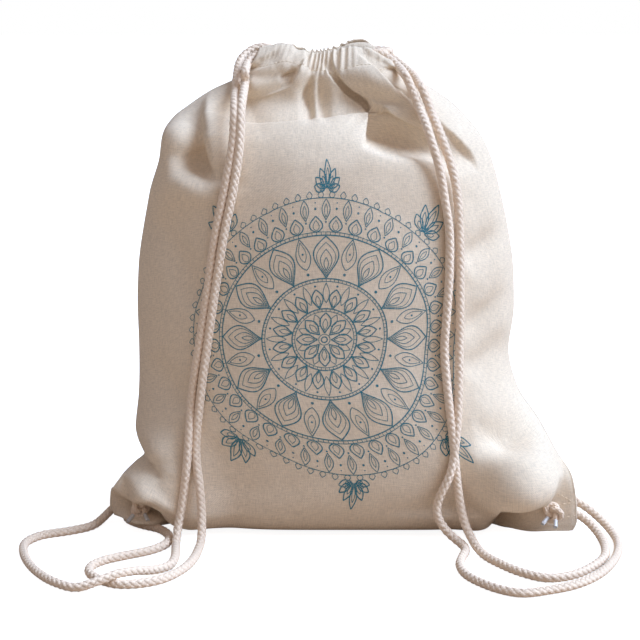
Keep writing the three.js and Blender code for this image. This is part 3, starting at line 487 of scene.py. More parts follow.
# Printed rosette in millimetres of flat cloth round its middle. Rings: radius, line share. Petals: count, turn
# in shares of a petal, inner and outer radius, half width, lean of the widest place to the tip, line share.
# Spokes: count, inner and outer radius, line share. Dots: count, turn, radius, dot radius. Sprays: base,
# angles and lengths of leaves, half width.
PRINT_MIDDLE = 0.475
PRINT_RADIUS = 104
PRINT_STRETCH = 1.1
PRINT_STEP = 1.6
INK_LIFT = 0.18
RING_POINTS = 181
LEAF_POINTS = 24
DOT_CORNERS = 10
SPRAY_LEAN = 1.1
PRINT_RINGS = (
    (2.2, 1), (4.2, 0.6), (21.5, 0.6), (23.6, 1), (44, 0.6), (46.2, 1), (78.2, 1), (80.6, 0.6), (104, 0.6),
)
PRINT_PETALS = (
    (8, 0, 5, 20.5, 4.2, 1.2, 1), (8, 0, 7, 16, 1.8, 1.1, 0.6), (8, 0.5, 11, 20.5, 2.4, 0.9, 0.6),
    (16, 0.5, 23.6, 38.5, 4, 1.2, 1), (16, 0.5, 25, 34, 1.7, 1.1, 0.6), (16, 0, 28, 43, 2.3, 0.9, 0.6),
    (12, 0, 46.2, 77.5, 9.2, 1.25, 1), (12, 0, 48, 73, 7, 1.25, 0.5), (12, 0, 50, 68, 4.2, 1.15, 0.6),
    (12, 0, 52, 62, 1.6, 1.1, 0.6), (12, 0.5, 54, 77.5, 5.2, 0.8, 0.7), (12, 0.5, 60, 75, 2.6, 0.8, 0.5),
    (36, 0.5, 80.6, 92, 5, 0.75, 1), (36, 0.5, 81.5, 89, 2.4, 0.8, 0.5), (36, 0, 89, 103.4, 3.2, 1.1, 0.7),
    (36, 0, 91, 100, 1.3, 1.1, 0.5), (72, 0.5, 104, 108.5, 2.4, 0.7, 0.6),
)
PRINT_SPOKES = ((48, 21.5, 23.6, 0.5), (96, 44, 46.2, 0.5), (144, 78.2, 80.6, 0.5))
PRINT_DOTS = (
    (16, 0.5, 41, 0.8), (12, 0.5, 50.5, 1.1), (12, 0.5, 66, 0.8), (36, 0, 87.6, 0.7), (36, 0.5, 97, 0.9),
    (36, 0.5, 101, 0.5),
)
PRINT_SPRAYS = (
    ((0, 108), (-74, -52, -26, 0, 26, 52, 74), (11, 13, 15, 19, 15, 13, 11), 2.6),
    ((0, -108), (106, 128, 154, 180, 206, 232, 254), (12, 14, 16, 21, 16, 14, 12), 2.6),
    ((75, 77), (-8, 20, 45, 70, 98), (15, 22, 28, 22, 15), 3.6),
    ((-75, 77), (8, -20, -45, -70, -98), (15, 22, 28, 22, 15), 3.6),
    ((75, -77), (188, 160, 135, 110, 82), (15, 22, 28, 22, 15), 3.6),
    ((-75, -77), (-188, -160, -135, -110, -82), (15, 22, 28, 22, 15), 3.6),
)

# Rows of reinforcing stitches on the right ear, seen square from the front.
EAR_STITCHES = (
    ((166.1, 31.8), (174.7, 26.6)), ((166.3, 23.1), (177.8, 24.8)), ((173.5, 13.3), (178.9, 14.1)),
)
EAR_STITCH_POINTS = 8
EAR_STITCH_LIFT = 0.25
HEM_STITCH_LIFT = 0.15
HEM_STITCH_INSET = 10
STITCH_STEP = 3
STITCH_LENGTH = 2.3
STITCH_WIDTH = 0.7

# Scales of the slubs across and along the cloth, and of the fibres along a yarn.
SLUB_SCALES = ((1300, 170, 1), (170, 1300, 1))
FIBRE_SCALE = (700, 9, 1)

# Lights: share of the window's strength, spread in degrees, way that the light goes, colour.
LIGHTS = (
    ("window", 1, 46, (-0.68, 0.06, -0.73), (0.79, 1.0, 1.34)),
    ("room", 0.17, 90, (-0.8, 0.55, -0.25), (0.96, 0.97, 1.1)),
    ("ceiling", 0.2, 120, (0.15, 0.25, -1), (1, 0.95, 1.0)),
)

# Camera: place, aim and lens, at the photograph's height and distance.
CAMERA_PLACE = (-17.3, -1350, 440)
CAMERA_AIM = (-17.3, 0, 156)
CAMERA_LENS = 98.85
CAMERA_SENSOR = 36
CAMERA_END = 50
# Floor: half its size in metres, and its drop under the bag in millimetres. Then the colour of the light
# all round.
FLOOR_HALF = 8
FLOOR_DROP = 0.5
WORLD_COLOR = (1, 0.95, 1.08, 1)


class ClothSettings(PropertyGroup):
    """Cloth of the panels and tunnels."""

    thickness: FloatProperty(name="Thickness", description="Thickness of the cotton cloth", default=1.5 * MM,
                             min=0.5 * MM, max=3 * MM, unit="LENGTH", precision=4)
    color: FloatVectorProperty(name="Cloth colour", description="Colour of the unbleached cotton", size=3,
                               default=(0.82, 0.69, 0.535), min=0, max=1, subtype="COLOR")
    threads: FloatProperty(name="Threads", description="Threads per metre of the plain weave", default=1500,
                           min=200, max=4000)
    columns: IntProperty(name="Columns", description="Mesh columns across a panel", default=190,
                         min=40, max=200)
    rows: IntProperty(name="Rows", description="Mesh rows along a panel", default=230, min=40, max=240)


class CordSettings(PropertyGroup):
    """Braided cords, their knots and tips."""

    diameter: FloatProperty(name="Diameter", description="Diameter of the braided cord", default=5.5 * MM,
                            min=3 * MM, max=8 * MM, unit="LENGTH", precision=4)
    pitch: FloatProperty(name="Pitch", description="Length of cord in which a yarn goes round once",
                         default=20 * MM, min=8 * MM, max=40 * MM, unit="LENGTH", precision=4)
    color: FloatVectorProperty(name="Cord colour", description="Colour of the cotton yarn", size=3,
                               default=(0.92, 0.75, 0.59), min=0, max=1, subtype="COLOR")
    tip_color: FloatVectorProperty(name="Tip colour", description="Colour of the shrunk-on tips", size=3,
                                   default=(0.70, 0.70, 0.70), min=0, max=1, subtype="COLOR")


class PrintSettings(PropertyGroup):
    """Line print on the front panel."""

    color: FloatVectorProperty(name="Ink colour", description="Colour of the printed lines", size=3,
                               default=(0.055, 0.22, 0.28), min=0, max=1, subtype="COLOR")
    line: FloatProperty(name="Line width", description="Width of the main printed lines", default=0.9 * MM,
                        min=0.2 * MM, max=3 * MM, unit="LENGTH", precision=4)
    radius: FloatProperty(name="Radius", description="Radius of the printed rosette", default=PRINT_RADIUS * MM,
                          min=40 * MM, max=140 * MM, unit="LENGTH", precision=4)


class StageSettings(PropertyGroup):
    """Floor and lights."""

    floor_color: FloatVectorProperty(name="Floor bounce", description="Colour that the floor throws back",
                                     size=3, default=(0.52, 0.395, 0.29), min=0, max=1, subtype="COLOR")
    floor_glow: FloatProperty(name="Floor glow", description="How much the floor is lifted towards white",
                              default=0.9, min=0, max=2)
    key: FloatProperty(name="Window", description="Strength of the window light from the right", default=3.4,
                       min=0, max=20)
    fill: FloatProperty(name="Fill", description="Strength of the light from all round", default=0.105,
                        min=0, max=2)


class BagSettings(PropertyGroup):
    """Sizes and colours of the gym bag."""

    cloth: PointerProperty(type=ClothSettings)
    cord: PointerProperty(type=CordSettings)
    ink: PointerProperty(type=PrintSettings)
    stage: PointerProperty(type=StageSettings)


# Shape helpers


def smoothstep(value, low, high):
    """Share of the way from low to high, eased at both ends."""
    share = np.clip((value - low) / (high - low), 0, 1)
    return share * share * (3 - 2 * share)


def lerp(start, end, share):
    return start + (end - start) * share


def turns(count):
    """Angles of even turns round a circle."""
    return 2 * math.pi * np.arange(count) / count


def level_curve(knots, values, at):
    """A curve through the knots that never overshoots them."""
    steps = np.diff(values) / np.diff(knots)
    before = np.concatenate([steps[:1], steps])
    after = np.concatenate([steps, steps[-1:]])
    rising = before * after > 0
    slopes = np.where(rising, 2 * before * after / np.where(rising, before + after, 1), 0)
    i = np.clip(np.searchsorted(knots, at, side="right") - 1, 0, len(knots) - 2)
    span = knots[i + 1] - knots[i]
    t = np.clip((at - knots[i]) / span, 0, 1)
    rise = t * t * (3 - 2 * t)
    leave = t * (1 - t) ** 2 * span
    arrive = t * t * (t - 1) * span
    return lerp(values[i], values[i + 1], rise) + slopes[i] * leave + slopes[i + 1] * arrive


def even_steps(curve, step):
    """The same curve with points about one step apart."""
    lengths = np.concatenate([[0], np.cumsum(np.linalg.norm(np.diff(curve, axis=0), axis=1))])
    at = np.linspace(0, lengths[-1], max(2, round(lengths[-1] / step)) + 1)
    return np.stack([np.interp(at, lengths, column) for column in curve.T], axis=1)


def spline(points, step):
    """Evenly spaced points on a smooth curve through the given points."""
    points = np.array(points, float)
    gaps = np.sqrt(np.linalg.norm(np.diff(points, axis=0), axis=1))
    knots = np.concatenate([[0], np.cumsum(gaps)])
    speeds = np.diff(points, axis=0) / gaps[:, None]
    inner = (speeds[:-1] * gaps[1:, None] + speeds[1:] * gaps[:-1, None]) / (gaps[1:] + gaps[:-1])[:, None]
    slopes = np.concatenate([speeds[:1], inner, speeds[-1:]])
    at = np.linspace(0, knots[-1], SPLINE_SAMPLES * len(points))
    i = np.clip(np.searchsorted(knots, at, side="right") - 1, 0, len(points) - 2)
    t = ((at - knots[i]) / gaps[i])[:, None]
    span = gaps[i][:, None]
    curve = lerp(points[i], points[i + 1], t * t * (3 - 2 * t))
    curve += slopes[i] * t * (1 - t) ** 2 * span + slopes[i + 1] * t * t * (t - 1) * span
    return even_steps(curve, step)


def softened(curve, times):
    """The curve with its small corners eased, and its ends kept."""
    curve = curve.copy()
    for _ in range(times):
        curve[1:-1] = (curve[:-2] + 2 * curve[1:-1] + curve[2:]) / 4
    return curve


def relaxed(points, times):
    """The grid with its sharpest corners eased, and its edges kept."""
    points = points.copy()
    for _ in range(times):
        around = points[:-2, 1:-1] + points[2:, 1:-1] + points[1:-1, :-2] + points[1:-1, 2:]
        points[1:-1, 1:-1] = points[1:-1, 1:-1] / 2 + around / 8
    return points


def grid_normals(points):
    """Unit normals of a grid of points, pointing out of the front when the columns run to +X."""
    across = np.gradient(points, axis=1)
    along = np.gradient(points, axis=0)
    normals = np.cross(across, along)
    return normals / np.maximum(np.linalg.norm(normals, axis=2, keepdims=True), 1e-9)


# Shape of the cloth


def section_at(along):
    """Every column of the section table at the given shares of the cloth's length."""
    table = np.array(SECTIONS, float)
    knots = table[:, 0]
    return {name: level_curve(knots, table[:, i], along) for i, name in enumerate(SECTION_COLUMNS) if i}


def parting_y(x, z):
    """Depth at which the two panels meet: level with the middle, and forward at the ears and left shoulder."""
    forward = np.where(x < 0, EAR_FORWARD["left"], EAR_FORWARD["right"])
    ear = smoothstep(np.abs(x), *EAR_START_X) * (1 - smoothstep(z, *EAR_END_Z))
    under = smoothstep(-x, *UNDER_START_X) * (1 - smoothstep(-x, *UNDER_END_X))
    under = under * (1 - smoothstep(z, *UNDER_END_Z))
    above_slot = z - np.interp(x, SLOT_X, SLOT_Z)
    over = smoothstep(-x, *OVER_START_X) * smoothstep(above_slot, *OVER_START_Z)
    over = over * (1 - smoothstep(above_slot, *OVER_END_Z))
    shoulder = smoothstep(-x, *SHOULDER_START_X) * smoothstep(z, *SHOULDER_START_Z)
    shoulder = shoulder * (1 - smoothstep(z, *SHOULDER_END_Z))
    return -forward * ear - LIP_FORWARD * (under + over) - SHOULDER_FORWARD * shoulder


def tunnel_z(x):
    """Height of the tunnel's middle line."""
    middle = (TUNNEL_LEFT_X + TUNNEL_RIGHT_X) / 2
    share = np.clip((x - middle) / (TUNNEL_RIGHT_X - middle), -TUNNEL_OVERRUN, TUNNEL_OVERRUN)
    end = np.where(share < 0, TUNNEL_LEFT_Z, TUNNEL_RIGHT_Z)
    return lerp(TUNNEL_DIP_Z, end, share * share)


def tunnel_edge(x, column):
    """Height of one of the tunnel's edges across the bag."""
    table = np.array(TUNNEL_EDGES, float)
    return level_curve(table[:, 0], table[:, column], np.clip(x, table[0, 0], table[-1, 0]))


def fold_line(row):
    """Points and rises along a fold from its start through its middle to its end."""
    t = np.linspace(0, 1, FOLD_SAMPLES + 1)
    weights = np.stack([(1 - t) ** 2, 2 * t * (1 - t), t * t], axis=1)
    start, middle, end = np.array([(*row[1:3], row[7]), (*row[3:5], row[8]), (*row[5:7], row[9])], float)
    return weights @ np.stack([start, 2 * middle - (start + end) / 2, end])


def main_rise(row, x, z):
    """Standing height of a main fold, with round sides of its own width above and below its line."""
    nearest = np.full(x.shape, np.inf)
    rise = np.zeros(x.shape)
    for line_x, line_z, line_rise in fold_line(row):
        width = np.where(z > line_z, row[10], row[11])
        distance = np.hypot(x - line_x, z - line_z) / width
        nearer = distance < nearest
        nearest = np.where(nearer, distance, nearest)
        rise = np.where(nearer, line_rise * np.exp(-distance * distance), rise)
    return rise


def crisp_rise(row, x, z, edge):
    """Height of a fold with its own height and width on each side, which meet over the edge's half width."""
    power, left_width, right_width, points = row[1:]
    line = spline([(*point[:3], point[-1]) for point in points], FOLD_STEP)
    reach = FOLD_REACH * max(left_width, right_width)
    low = line.min(axis=0) - reach
    high = line.max(axis=0) + reach
    near = (x > low[0]) & (x < high[0]) & (z > low[1]) & (z < high[1])
    near_x = x[near]
    near_z = z[near]
    nearest = np.full(near_x.shape, np.inf)
    height = np.zeros(near_x.shape)
    for start, end in zip(line[:-1], line[1:]):
        way_x, way_z = (end - start)[:2]
        forward = (near_x - start[0]) * way_x + (near_z - start[1]) * way_z
        share = np.clip(forward / (way_x ** 2 + way_z ** 2), 0, 1)
        off_x = near_x - start[0] - share * way_x
        off_z = near_z - start[1] - share * way_z
        distance = np.hypot(off_x, off_z)
        aside = np.copysign(distance, way_x * off_z - way_z * off_x)
        left = lerp(start[2], end[2], share) * np.exp(-((distance / left_width) ** power))
        right = lerp(start[3], end[3], share) * np.exp(-((distance / right_width) ** power))
        nearer = distance < nearest
        nearest = np.where(nearer, distance, nearest)
        height = np.where(nearer, lerp(right, left, smoothstep(aside, -edge, edge)), height)
    rise = np.zeros(x.shape)
    rise[near] = height
    return rise


def as_seen(points):
    """Where the camera sees the points on the upright plane through the middle of the bag."""
    eye_x, eye_y, eye_z = CAMERA_PLACE
    share = -eye_y / (points[..., 1] - eye_y)
    return eye_x + (points[..., 0] - eye_x) * share, eye_z + (points[..., 2] - eye_z) * share


def gather_wave(across, x, pleats, least, middle, half, power):
    """Wave of the gathers across the cloth, with pleats of uneven width that die out towards the sides."""
    uneven = across + sum(share * np.sin(across * waves + shift) for share, waves, shift in PLEAT_UNEVENNESS)
    depth = lerp(least, 1, np.exp(-(((x - middle) / half) ** power)))
    return depth * np.cos(math.pi * pleats * uneven)


def soft_noise(u, v, cells, seed):
    """Smooth unevenness between -1 and 1 over a square of cells."""
    values = np.random.default_rng(seed).uniform(-1, 1, (cells + 3, cells + 3))
    x = np.clip(u, 0, 1) * cells
    y = np.clip(v, 0, 1) * cells
    i = x.astype(int)
    j = y.astype(int)
    a = smoothstep(x - i, 0, 1)
    b = smoothstep(y - j, 0, 1)
    low = lerp(values[i, j], values[i + 1, j], a)
    high = lerp(values[i, j + 1], values[i + 1, j + 1], a)
    return lerp(low, high, b)


def panel_shares(rows):
    """Shares of the cloth's length at the panel's rows, closer together towards the gathers."""
    low = round(rows * LOW_ROWS)
    return np.concatenate([np.linspace(0, LOW_END, low, endpoint=False), np.linspace(LOW_END, 1, rows - low)])


@lru_cache
def panel_points(rows, columns, facing):
    """Outer face of a panel as a grid from the bottom seam up and from the left seam to the right one."""
    along, across = np.meshgrid(panel_shares(rows), np.linspace(-1, 1, columns), indexing="ij")
    section = section_at(along)
    turn = section["wrap"] * math.pi / 2
    x = lerp(section["left_x"], section["right_x"], (1 + np.sin(across * turn) / np.sin(turn)) / 2)
    # The belly bulges between its two roots and is flat outside them.
    root_left = np.maximum(section["root_left"], section["left_x"])
    root_right = np.minimum(section["root_right"], section["right_x"])
    middle = (root_left + root_right) / 2
    half = (root_right - root_left) / 2
    opening = MOUTH_OPENING * smoothstep(along, HEM_AT - HEM_BLEND, HEM_AT + HEM_BLEND)
    spread = np.minimum(1 - opening, np.abs(x - middle) / half)
    low_square = np.interp(along, LOW_SHARES, LOW_SQUARES)
    square = np.where((x > middle) & (along < LOW_SHARES[-1]), low_square, section["square"])
    depth = section["front" if facing == FRONT else "back"] * (1 - spread ** square) ** section["soft"]
    # Rows of the cloth are level over the middle and rise or fall to the side seams.
    to_seam = np.where(x < middle, middle - section["left_x"], section["right_x"] - middle)
    reach = np.minimum(1, np.abs(x - middle) / to_seam)
    edge = np.maximum(0, (reach - LEVEL_SHARE) / (1 - LEVEL_SHARE))
    seam_z = np.where(x < middle, section["left_z"], section["right_z"])
    dip = np.clip((along - DIP_START) / (HEM_AT - DIP_START), 0, 1) ** DIP_POWER
    middle_z = lerp(section["mid_z"], tunnel_edge(x, HEM_COLUMN), dip)
    rim_z = tunnel_edge(x, TOP_COLUMN[facing]) + RIM_RISE
    middle_z = lerp(middle_z, rim_z, np.clip((along - HEM_AT) / (1 - HEM_AT), 0, 1))
    z = lerp(middle_z, seam_z, smoothstep(edge, 0, LEVEL_RAMP))
    # Main folds stand out of the bulge, and the cloth is pinched shut along the side seams.
    inside = 1 - reach ** FOLD_EDGE
    folded = sum(main_rise(row, x, z) for row in MAIN_FOLDS[facing]) * (1 - smoothstep(along, FOLD_END, 1))
    rim = np.clip((1 - np.abs(across)) / SEAM_RIM, 0, 1)
    seam = SEAM_GAP / 2 + SEAM_RISE * smoothstep(edge, 0, FLAT_RAMP) * rim
    out = np.maximum(seam, seam + depth + inside * folded)
    points = np.stack([x, parting_y(x, z) + facing * out, z], axis=2)
    if facing == FRONT:
        points[..., 1] -= inside * deep_fall(*as_seen(points))
    # Small folds and gathers rise along the normals of the eased cloth.
    normals = -facing * grid_normals(relaxed(points, NORMAL_EASE))
    rise = PLEAT_DEPTH * smoothstep(along, *GATHER_START) * gather_wave(across, x, *PANEL_PLEATS)
    rise += UNEVEN_DEPTH * soft_noise((across + 1) / 2, along, UNEVEN_CELLS, UNEVEN_SEED[facing])
    if facing == FRONT:
        seen_x, seen_z = as_seen(points)
        rise += sum(crisp_rise(row, seen_x, seen_z, CRISP_EDGE) for row in CRISP_FOLDS)
    clear = np.maximum(smoothstep(along, *CLEAR_ALONG), smoothstep(np.abs(x), *CLEAR_X))
    deepest = lerp(DEEPEST_SHARE * (out - seam), HEM_DEEPEST, smoothstep(along, GATHER_START[0], HEM_AT))
    rise = np.maximum(rise, -deepest)
    points = relaxed(points + normals * (inside * clear * rise)[..., None], CLOTH_EASE)
    points[..., 2] = np.maximum(points[..., 2], 0)
    return points


def deep_fall(seen_x, seen_z):
    """How far the front falls back in its deep folds; the pocket ends at its upright side."""
    pocket, *others = [crisp_rise(row, seen_x, seen_z, DEEP_EDGE) for row in DEEP_FOLDS]
    beside = seen_x - np.interp(seen_z, POCKET_SIDE_Z, POCKET_SIDE_X)
    return pocket * smoothstep(beside, -POCKET_SIDE_EDGE, POCKET_SIDE_EDGE) + sum(others)


def tunnel_points(facing):
    """A tunnel as rings of points from its left end to its right one, starting at the middle of the bag."""
    share, angle = np.meshgrid(np.linspace(0, 1, TUNNEL_RINGS), turns(TUNNEL_SIDES), indexing="ij")
    x = lerp(TUNNEL_LEFT_X - TUNNEL_PAST_LEFT, TUNNEL_RIGHT_X + TUNNEL_PAST_RIGHT, share)
    wave = gather_wave(2 * share - 1, x, *TUNNEL_PLEATS)
    top_z = tunnel_edge(x, TOP_COLUMN[facing]) - TUNNEL_TOP_INSET
    hem_z = tunnel_edge(x, HEM_COLUMN) - TUNNEL_HEM_INSET
    reach = TUNNEL_HALF_DEPTH - TUNNEL_SLACK + wave * (0.5 + 0.5 * np.cos(angle))
    y = facing * (TUNNEL_FROM_MIDDLE - reach * np.cos(angle))
    z = (top_z + hem_z) / 2 + (top_z - hem_z) / 2 * np.sin(angle)
    return np.stack([x, y, z], axis=2)


# Mesh helpers


def grid_faces(rows, columns, wrap=False):
    """Quads of a grid of points; wrap joins its last column to its first."""
    i, j = np.meshgrid(np.arange(rows - 1), np.arange(columns if wrap else columns - 1), indexing="ij")
    here = i * columns + j
    after = i * columns + (j + 1) % columns
    return np.stack([here, after, after + columns, here + columns], axis=2).reshape(-1, 4)


def bar_faces(rings, sides, start=0):
    """Faces of a bar of rings, with a cap at each end."""
    first = list(range(start, start + sides))
    last = [corner + (rings - 1) * sides for corner in first]
    return [*(grid_faces(rings, sides, wrap=True) + start).tolist(), first[::-1], last]


def grid_uvs(u, v):
    """UVs of a grid with u along its rows and v along its columns."""
    return np.stack(np.meshgrid(u, v, indexing="ij"), axis=2).reshape(-1, 2)


def new_object(name, data):
    """An object of the scene, at the origin."""
    thing = bpy.data.objects.new(name, data)
    bpy.context.scene.collection.objects.link(thing)
    return thing


def make_piece(name, points, faces, uvs, material):
    """A smooth mesh object at the origin from points in millimetres."""
    mesh = bpy.data.meshes.new(name)
    mesh.from_pydata((np.asarray(points) * MM).tolist(), [], [list(map(int, face)) for face in faces])
    layer = mesh.uv_layers.new(name="cloth")
    corners = np.zeros(len(mesh.loops), np.int32)
    mesh.loops.foreach_get("vertex_index", corners)
    layer.data.foreach_set("uv", np.asarray(uvs, np.float32)[corners].ravel())
    mesh.materials.append(material)
    mesh.shade_smooth()
    mesh.update()
    return new_object(name, mesh)


def finish_modifiers(piece):
    """Makes the piece's modifiers part of its mesh."""
    graph = bpy.context.evaluated_depsgraph_get()
    shown = piece.evaluated_get(graph)
    mesh = bpy.data.meshes.new_from_object(shown, preserve_all_data_layers=True, depsgraph=graph)
    piece.modifiers.clear()
    piece.data = mesh
    mesh.name = piece.name


def place_on_bag(piece, slot, *nodes):
    """Lets the piece move with the bag and stand for its solids; the slot is not used."""
    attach(piece, BODY)
    if nodes:
        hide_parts(*nodes)


def walled_cloth(name, points, faces, uvs, settings, thickness):
    """A piece of the bag's cloth with its wall, from the points of its outer face."""
    piece = make_piece(f"{name}_cloth", points.reshape(-1, 3), faces, uvs, cotton_material(settings))
    wall = piece.modifiers.new("wall", "SOLIDIFY")
    wall.thickness = thickness
    wall.offset = -1
    finish_modifiers(piece)
    place_on_bag(piece, "cotton", name)
    return piece


def travelling_frames(path):
    """Ways along the path and two directions square to them that turn as little as they can."""
    ways = np.gradient(path, axis=0)
    ways /= np.linalg.norm(ways, axis=1, keepdims=True)
    sides = np.zeros_like(ways)
    start = np.eye(3)[np.argmin(np.abs(ways[0]))]
    sides[0] = start - ways[0] * (start @ ways[0])
    for i in range(1, len(path)):
        sides[i] = sides[i - 1] - ways[i] * (sides[i - 1] @ ways[i])
        sides[i] /= np.linalg.norm(sides[i])
    sides[0] /= np.linalg.norm(sides[0])
    return ways, sides, np.cross(ways, sides)


def braid(path, radius, pitch, step):
    """Points, faces and UVs of a braid along a path: four yarns each way over a core."""
    ways, sides, ups = travelling_frames(path)
    length = np.arange(len(path)) * step
    turn = 2 * math.pi / pitch
    sway, thick, wide, core = (share * radius for share in BRAID_SHARES)
    corners = turns(YARN_CORNERS)
    bars = []
    for hand in (1, -1):
        over = radius - sway - thick + hand * sway * np.cos(BRAID_YARNS * turn * length)
        for start in turns(BRAID_YARNS):
            angle = (start + hand * turn * length)[:, None]
            out = np.cos(angle) * sides + np.sin(angle) * ups
            round_way = np.cos(angle) * ups - np.sin(angle) * sides
            yarn_way = ways + hand * turn * over[:, None] * round_way
            yarn_way /= np.linalg.norm(yarn_way, axis=1, keepdims=True)
            across = np.cross(yarn_way, out)
            middle = path + out * over[:, None]
            bars.append([middle + thick * math.cos(c) * out + wide * math.sin(c) * across for c in corners])
    bars.append([path + core * (math.cos(c) * sides + math.sin(c) * ups) for c in corners])
    points = np.concatenate([np.stack(bar, axis=1).reshape(-1, 3) for bar in bars])
    corner_count = len(path) * YARN_CORNERS
    faces = []
    uvs = []
    for place in range(len(bars)):
        faces += bar_faces(len(path), YARN_CORNERS, place * corner_count)
        uvs.append(grid_uvs(length * MM, np.arange(YARN_CORNERS) / YARN_CORNERS + place))
    return points, faces, np.concatenate(uvs)


# Material helpers


def new_material(name):
    """A material with its node tree and its main shader."""
    material = bpy.data.materials.new(name)
    material.use_nodes = True
    tree = material.node_tree
    return material, tree, tree.nodes["Principled BSDF"]


def fill_in(tree, node, inputs):
    """Links a node's inputs to sockets or sets them to values, by socket name or number."""
    for name, value in inputs.items():
        if isinstance(value, bpy.types.NodeSocket):
            tree.links.new(value, node.inputs[name])
        else:
            node.inputs[name].default_value = value


def add_node(tree, kind, inputs=None, **values):
    """A node with attributes by name."""
    node = tree.nodes.new(kind)
    for name, value in values.items():
        setattr(node, name, value)
    fill_in(tree, node, inputs or {})
    return node


def maths(tree, operation, first, second=0.0):
    return add_node(tree, "ShaderNodeMath", {0: first, 1: second}, operation=operation).outputs[0]


def mixed(tree, share, first, second):
    """A colour between two colours."""
    return add_node(tree, "ShaderNodeMix", {0: share, 6: first, 7: second}, data_type="RGBA").outputs[2]


def ranged(tree, value, low, high, least, most):
    """A value moved from one range to another."""
    return add_node(tree, "ShaderNodeMapRange", {0: value, 1: low, 2: high, 3: least, 4: most}).outputs[0]


def bumped(tree, height, strength, distance, **more):
    """The normal of a bumpy surface."""
    inputs = {"Strength": strength, "Distance": distance, "Height": height, **more}
    return add_node(tree, "ShaderNodeBump", inputs).outputs[0]


def scaled(tree, place, scale):
    return add_node(tree, "ShaderNodeMapping", {"Vector": place, "Scale": scale}).outputs[0]


def flat_noise(tree, place, scale, detail, **more):
    """Soft noise over flat cloth."""
    inputs = {"Vector": place, "Scale": scale, "Detail": detail, **more}
    return add_node(tree, "ShaderNodeTexNoise", inputs, noise_dimensions="2D").outputs[0]


def cloth_map(tree):
    return add_node(tree, "ShaderNodeUVMap", uv_map="cloth").outputs[0]


def object_place(tree):
    return add_node(tree, "ShaderNodeTexCoord").outputs["Object"]


def shaded(color, factor):
    return (*[channel * factor for channel in color], 1)


def show_camera(tree, lit, seen, output):
    """Shows the camera one shader, and lights the bag with another."""
    path = add_node(tree, "ShaderNodeLightPath")
    mix = add_node(tree, "ShaderNodeMixShader", {0: path.outputs["Is Camera Ray"], 1: lit, 2: seen})
    tree.links.new(mix.outputs[0], tree.nodes[output].inputs["Surface"])


def add_sockets(group, way, kind, *labels):
    for label in labels:
        group.interface.new_socket(label, in_out=way, socket_type=kind)


def weave_group():
    """Plain weave on flat cloth: the height of the threads and the tone of their slubs and flecks."""
    name = "Plain weave"
    if name in bpy.data.node_groups:
        return bpy.data.node_groups[name]
    group = bpy.data.node_groups.new(name, "ShaderNodeTree")
    add_sockets(group, "INPUT", "NodeSocketVector", "Cloth")
    add_sockets(group, "INPUT", "NodeSocketFloat", "Threads")
    add_sockets(group, "OUTPUT", "NodeSocketFloat", "Height", "Tone", "Flecks")
    inlet = group.nodes.new("NodeGroupInput")
    cloth = inlet.outputs["Cloth"]
    place = add_node(group, "ShaderNodeSeparateXYZ", {0: cloth})
    angle = maths(group, "MULTIPLY", inlet.outputs["Threads"], math.pi)
    warp = maths(group, "SINE", maths(group, "MULTIPLY", place.outputs[0], angle))
    weft = maths(group, "SINE", maths(group, "MULTIPLY", place.outputs[1], angle))
    checks = maths(group, "MULTIPLY", warp, weft)
    slubs = [flat_noise(group, scaled(group, cloth, scale), 1.0, 3.0) for scale in SLUB_SCALES]
    tone = maths(group, "MULTIPLY", maths(group, "ADD", *slubs), 0.5)
    flecks = ranged(group, flat_noise(group, cloth, 420.0, 2.0), 0.74, 0.82, 0.0, 1.0)
    height = maths(group, "ADD", maths(group, "MULTIPLY", checks, 0.5), tone)
    add_node(group, "NodeGroupOutput", {"Height": height, "Tone": tone, "Flecks": flecks})
    return group


def weave_in(tree, threads):
    """The weave group on a piece's own cloth map, in metres of flat cloth."""
    cloth = scaled(tree, cloth_map(tree), (FLAT_WIDTH * MM, FLAT_LENGTH * MM, 1))
    weave = add_node(tree, "ShaderNodeGroup", node_tree=weave_group())
    fill_in(tree, weave, {"Cloth": cloth, "Threads": threads})
    return cloth, weave.outputs


def cotton_material(settings):
    """Unbleached plain-woven cotton with slubs, seed flecks and small creases."""
    if "Unbleached cotton" in bpy.data.materials:
        return bpy.data.materials["Unbleached cotton"]
    material, tree, shader = new_material("Unbleached cotton")
    cloth, weave = weave_in(tree, settings.threads)
    slubs = ranged(tree, weave["Tone"], 0.3, 0.7, 0.0, 1.0)
    woven = mixed(tree, slubs, shaded(settings.color, 0.87), shaded(settings.color, 1.17))
    flecked = mixed(tree, weave["Flecks"], woven, shaded(settings.color, 0.82))
    creases = flat_noise(tree, cloth, 38.0, 5.0, Roughness=0.55)
    crumple = bumped(tree, creases, 0.85, 0.9 * MM)
    threads = bumped(tree, weave["Height"], 0.8, 0.15 * MM, Normal=crumple)
    fill_in(tree, shader, {"Base Color": flecked, "Normal": threads, "Roughness": 0.92,
                           "Specular IOR Level": 0.18, "Sheen Weight": 0.12, "Sheen Roughness": 0.5})
    return material


def yarn_material(settings):
    """Soft cotton yarn with fibres along it."""
    if "Cord yarn" in bpy.data.materials:
        return bpy.data.materials["Cord yarn"]
    material, tree, shader = new_material("Cord yarn")
    fibres = flat_noise(tree, scaled(tree, cloth_map(tree), FIBRE_SCALE), 1.0, 4.0)
    tone = mixed(tree, fibres, shaded(settings.color, 0.88), shaded(settings.color, 1.1))
    fluff = bumped(tree, fibres, 0.6, 0.3 * MM)
    fill_in(tree, shader, {"Base Color": tone, "Normal": fluff, "Roughness": 0.9,
                           "Specular IOR Level": 0.2, "Sheen Weight": 0.2})
    return material


# Pieces


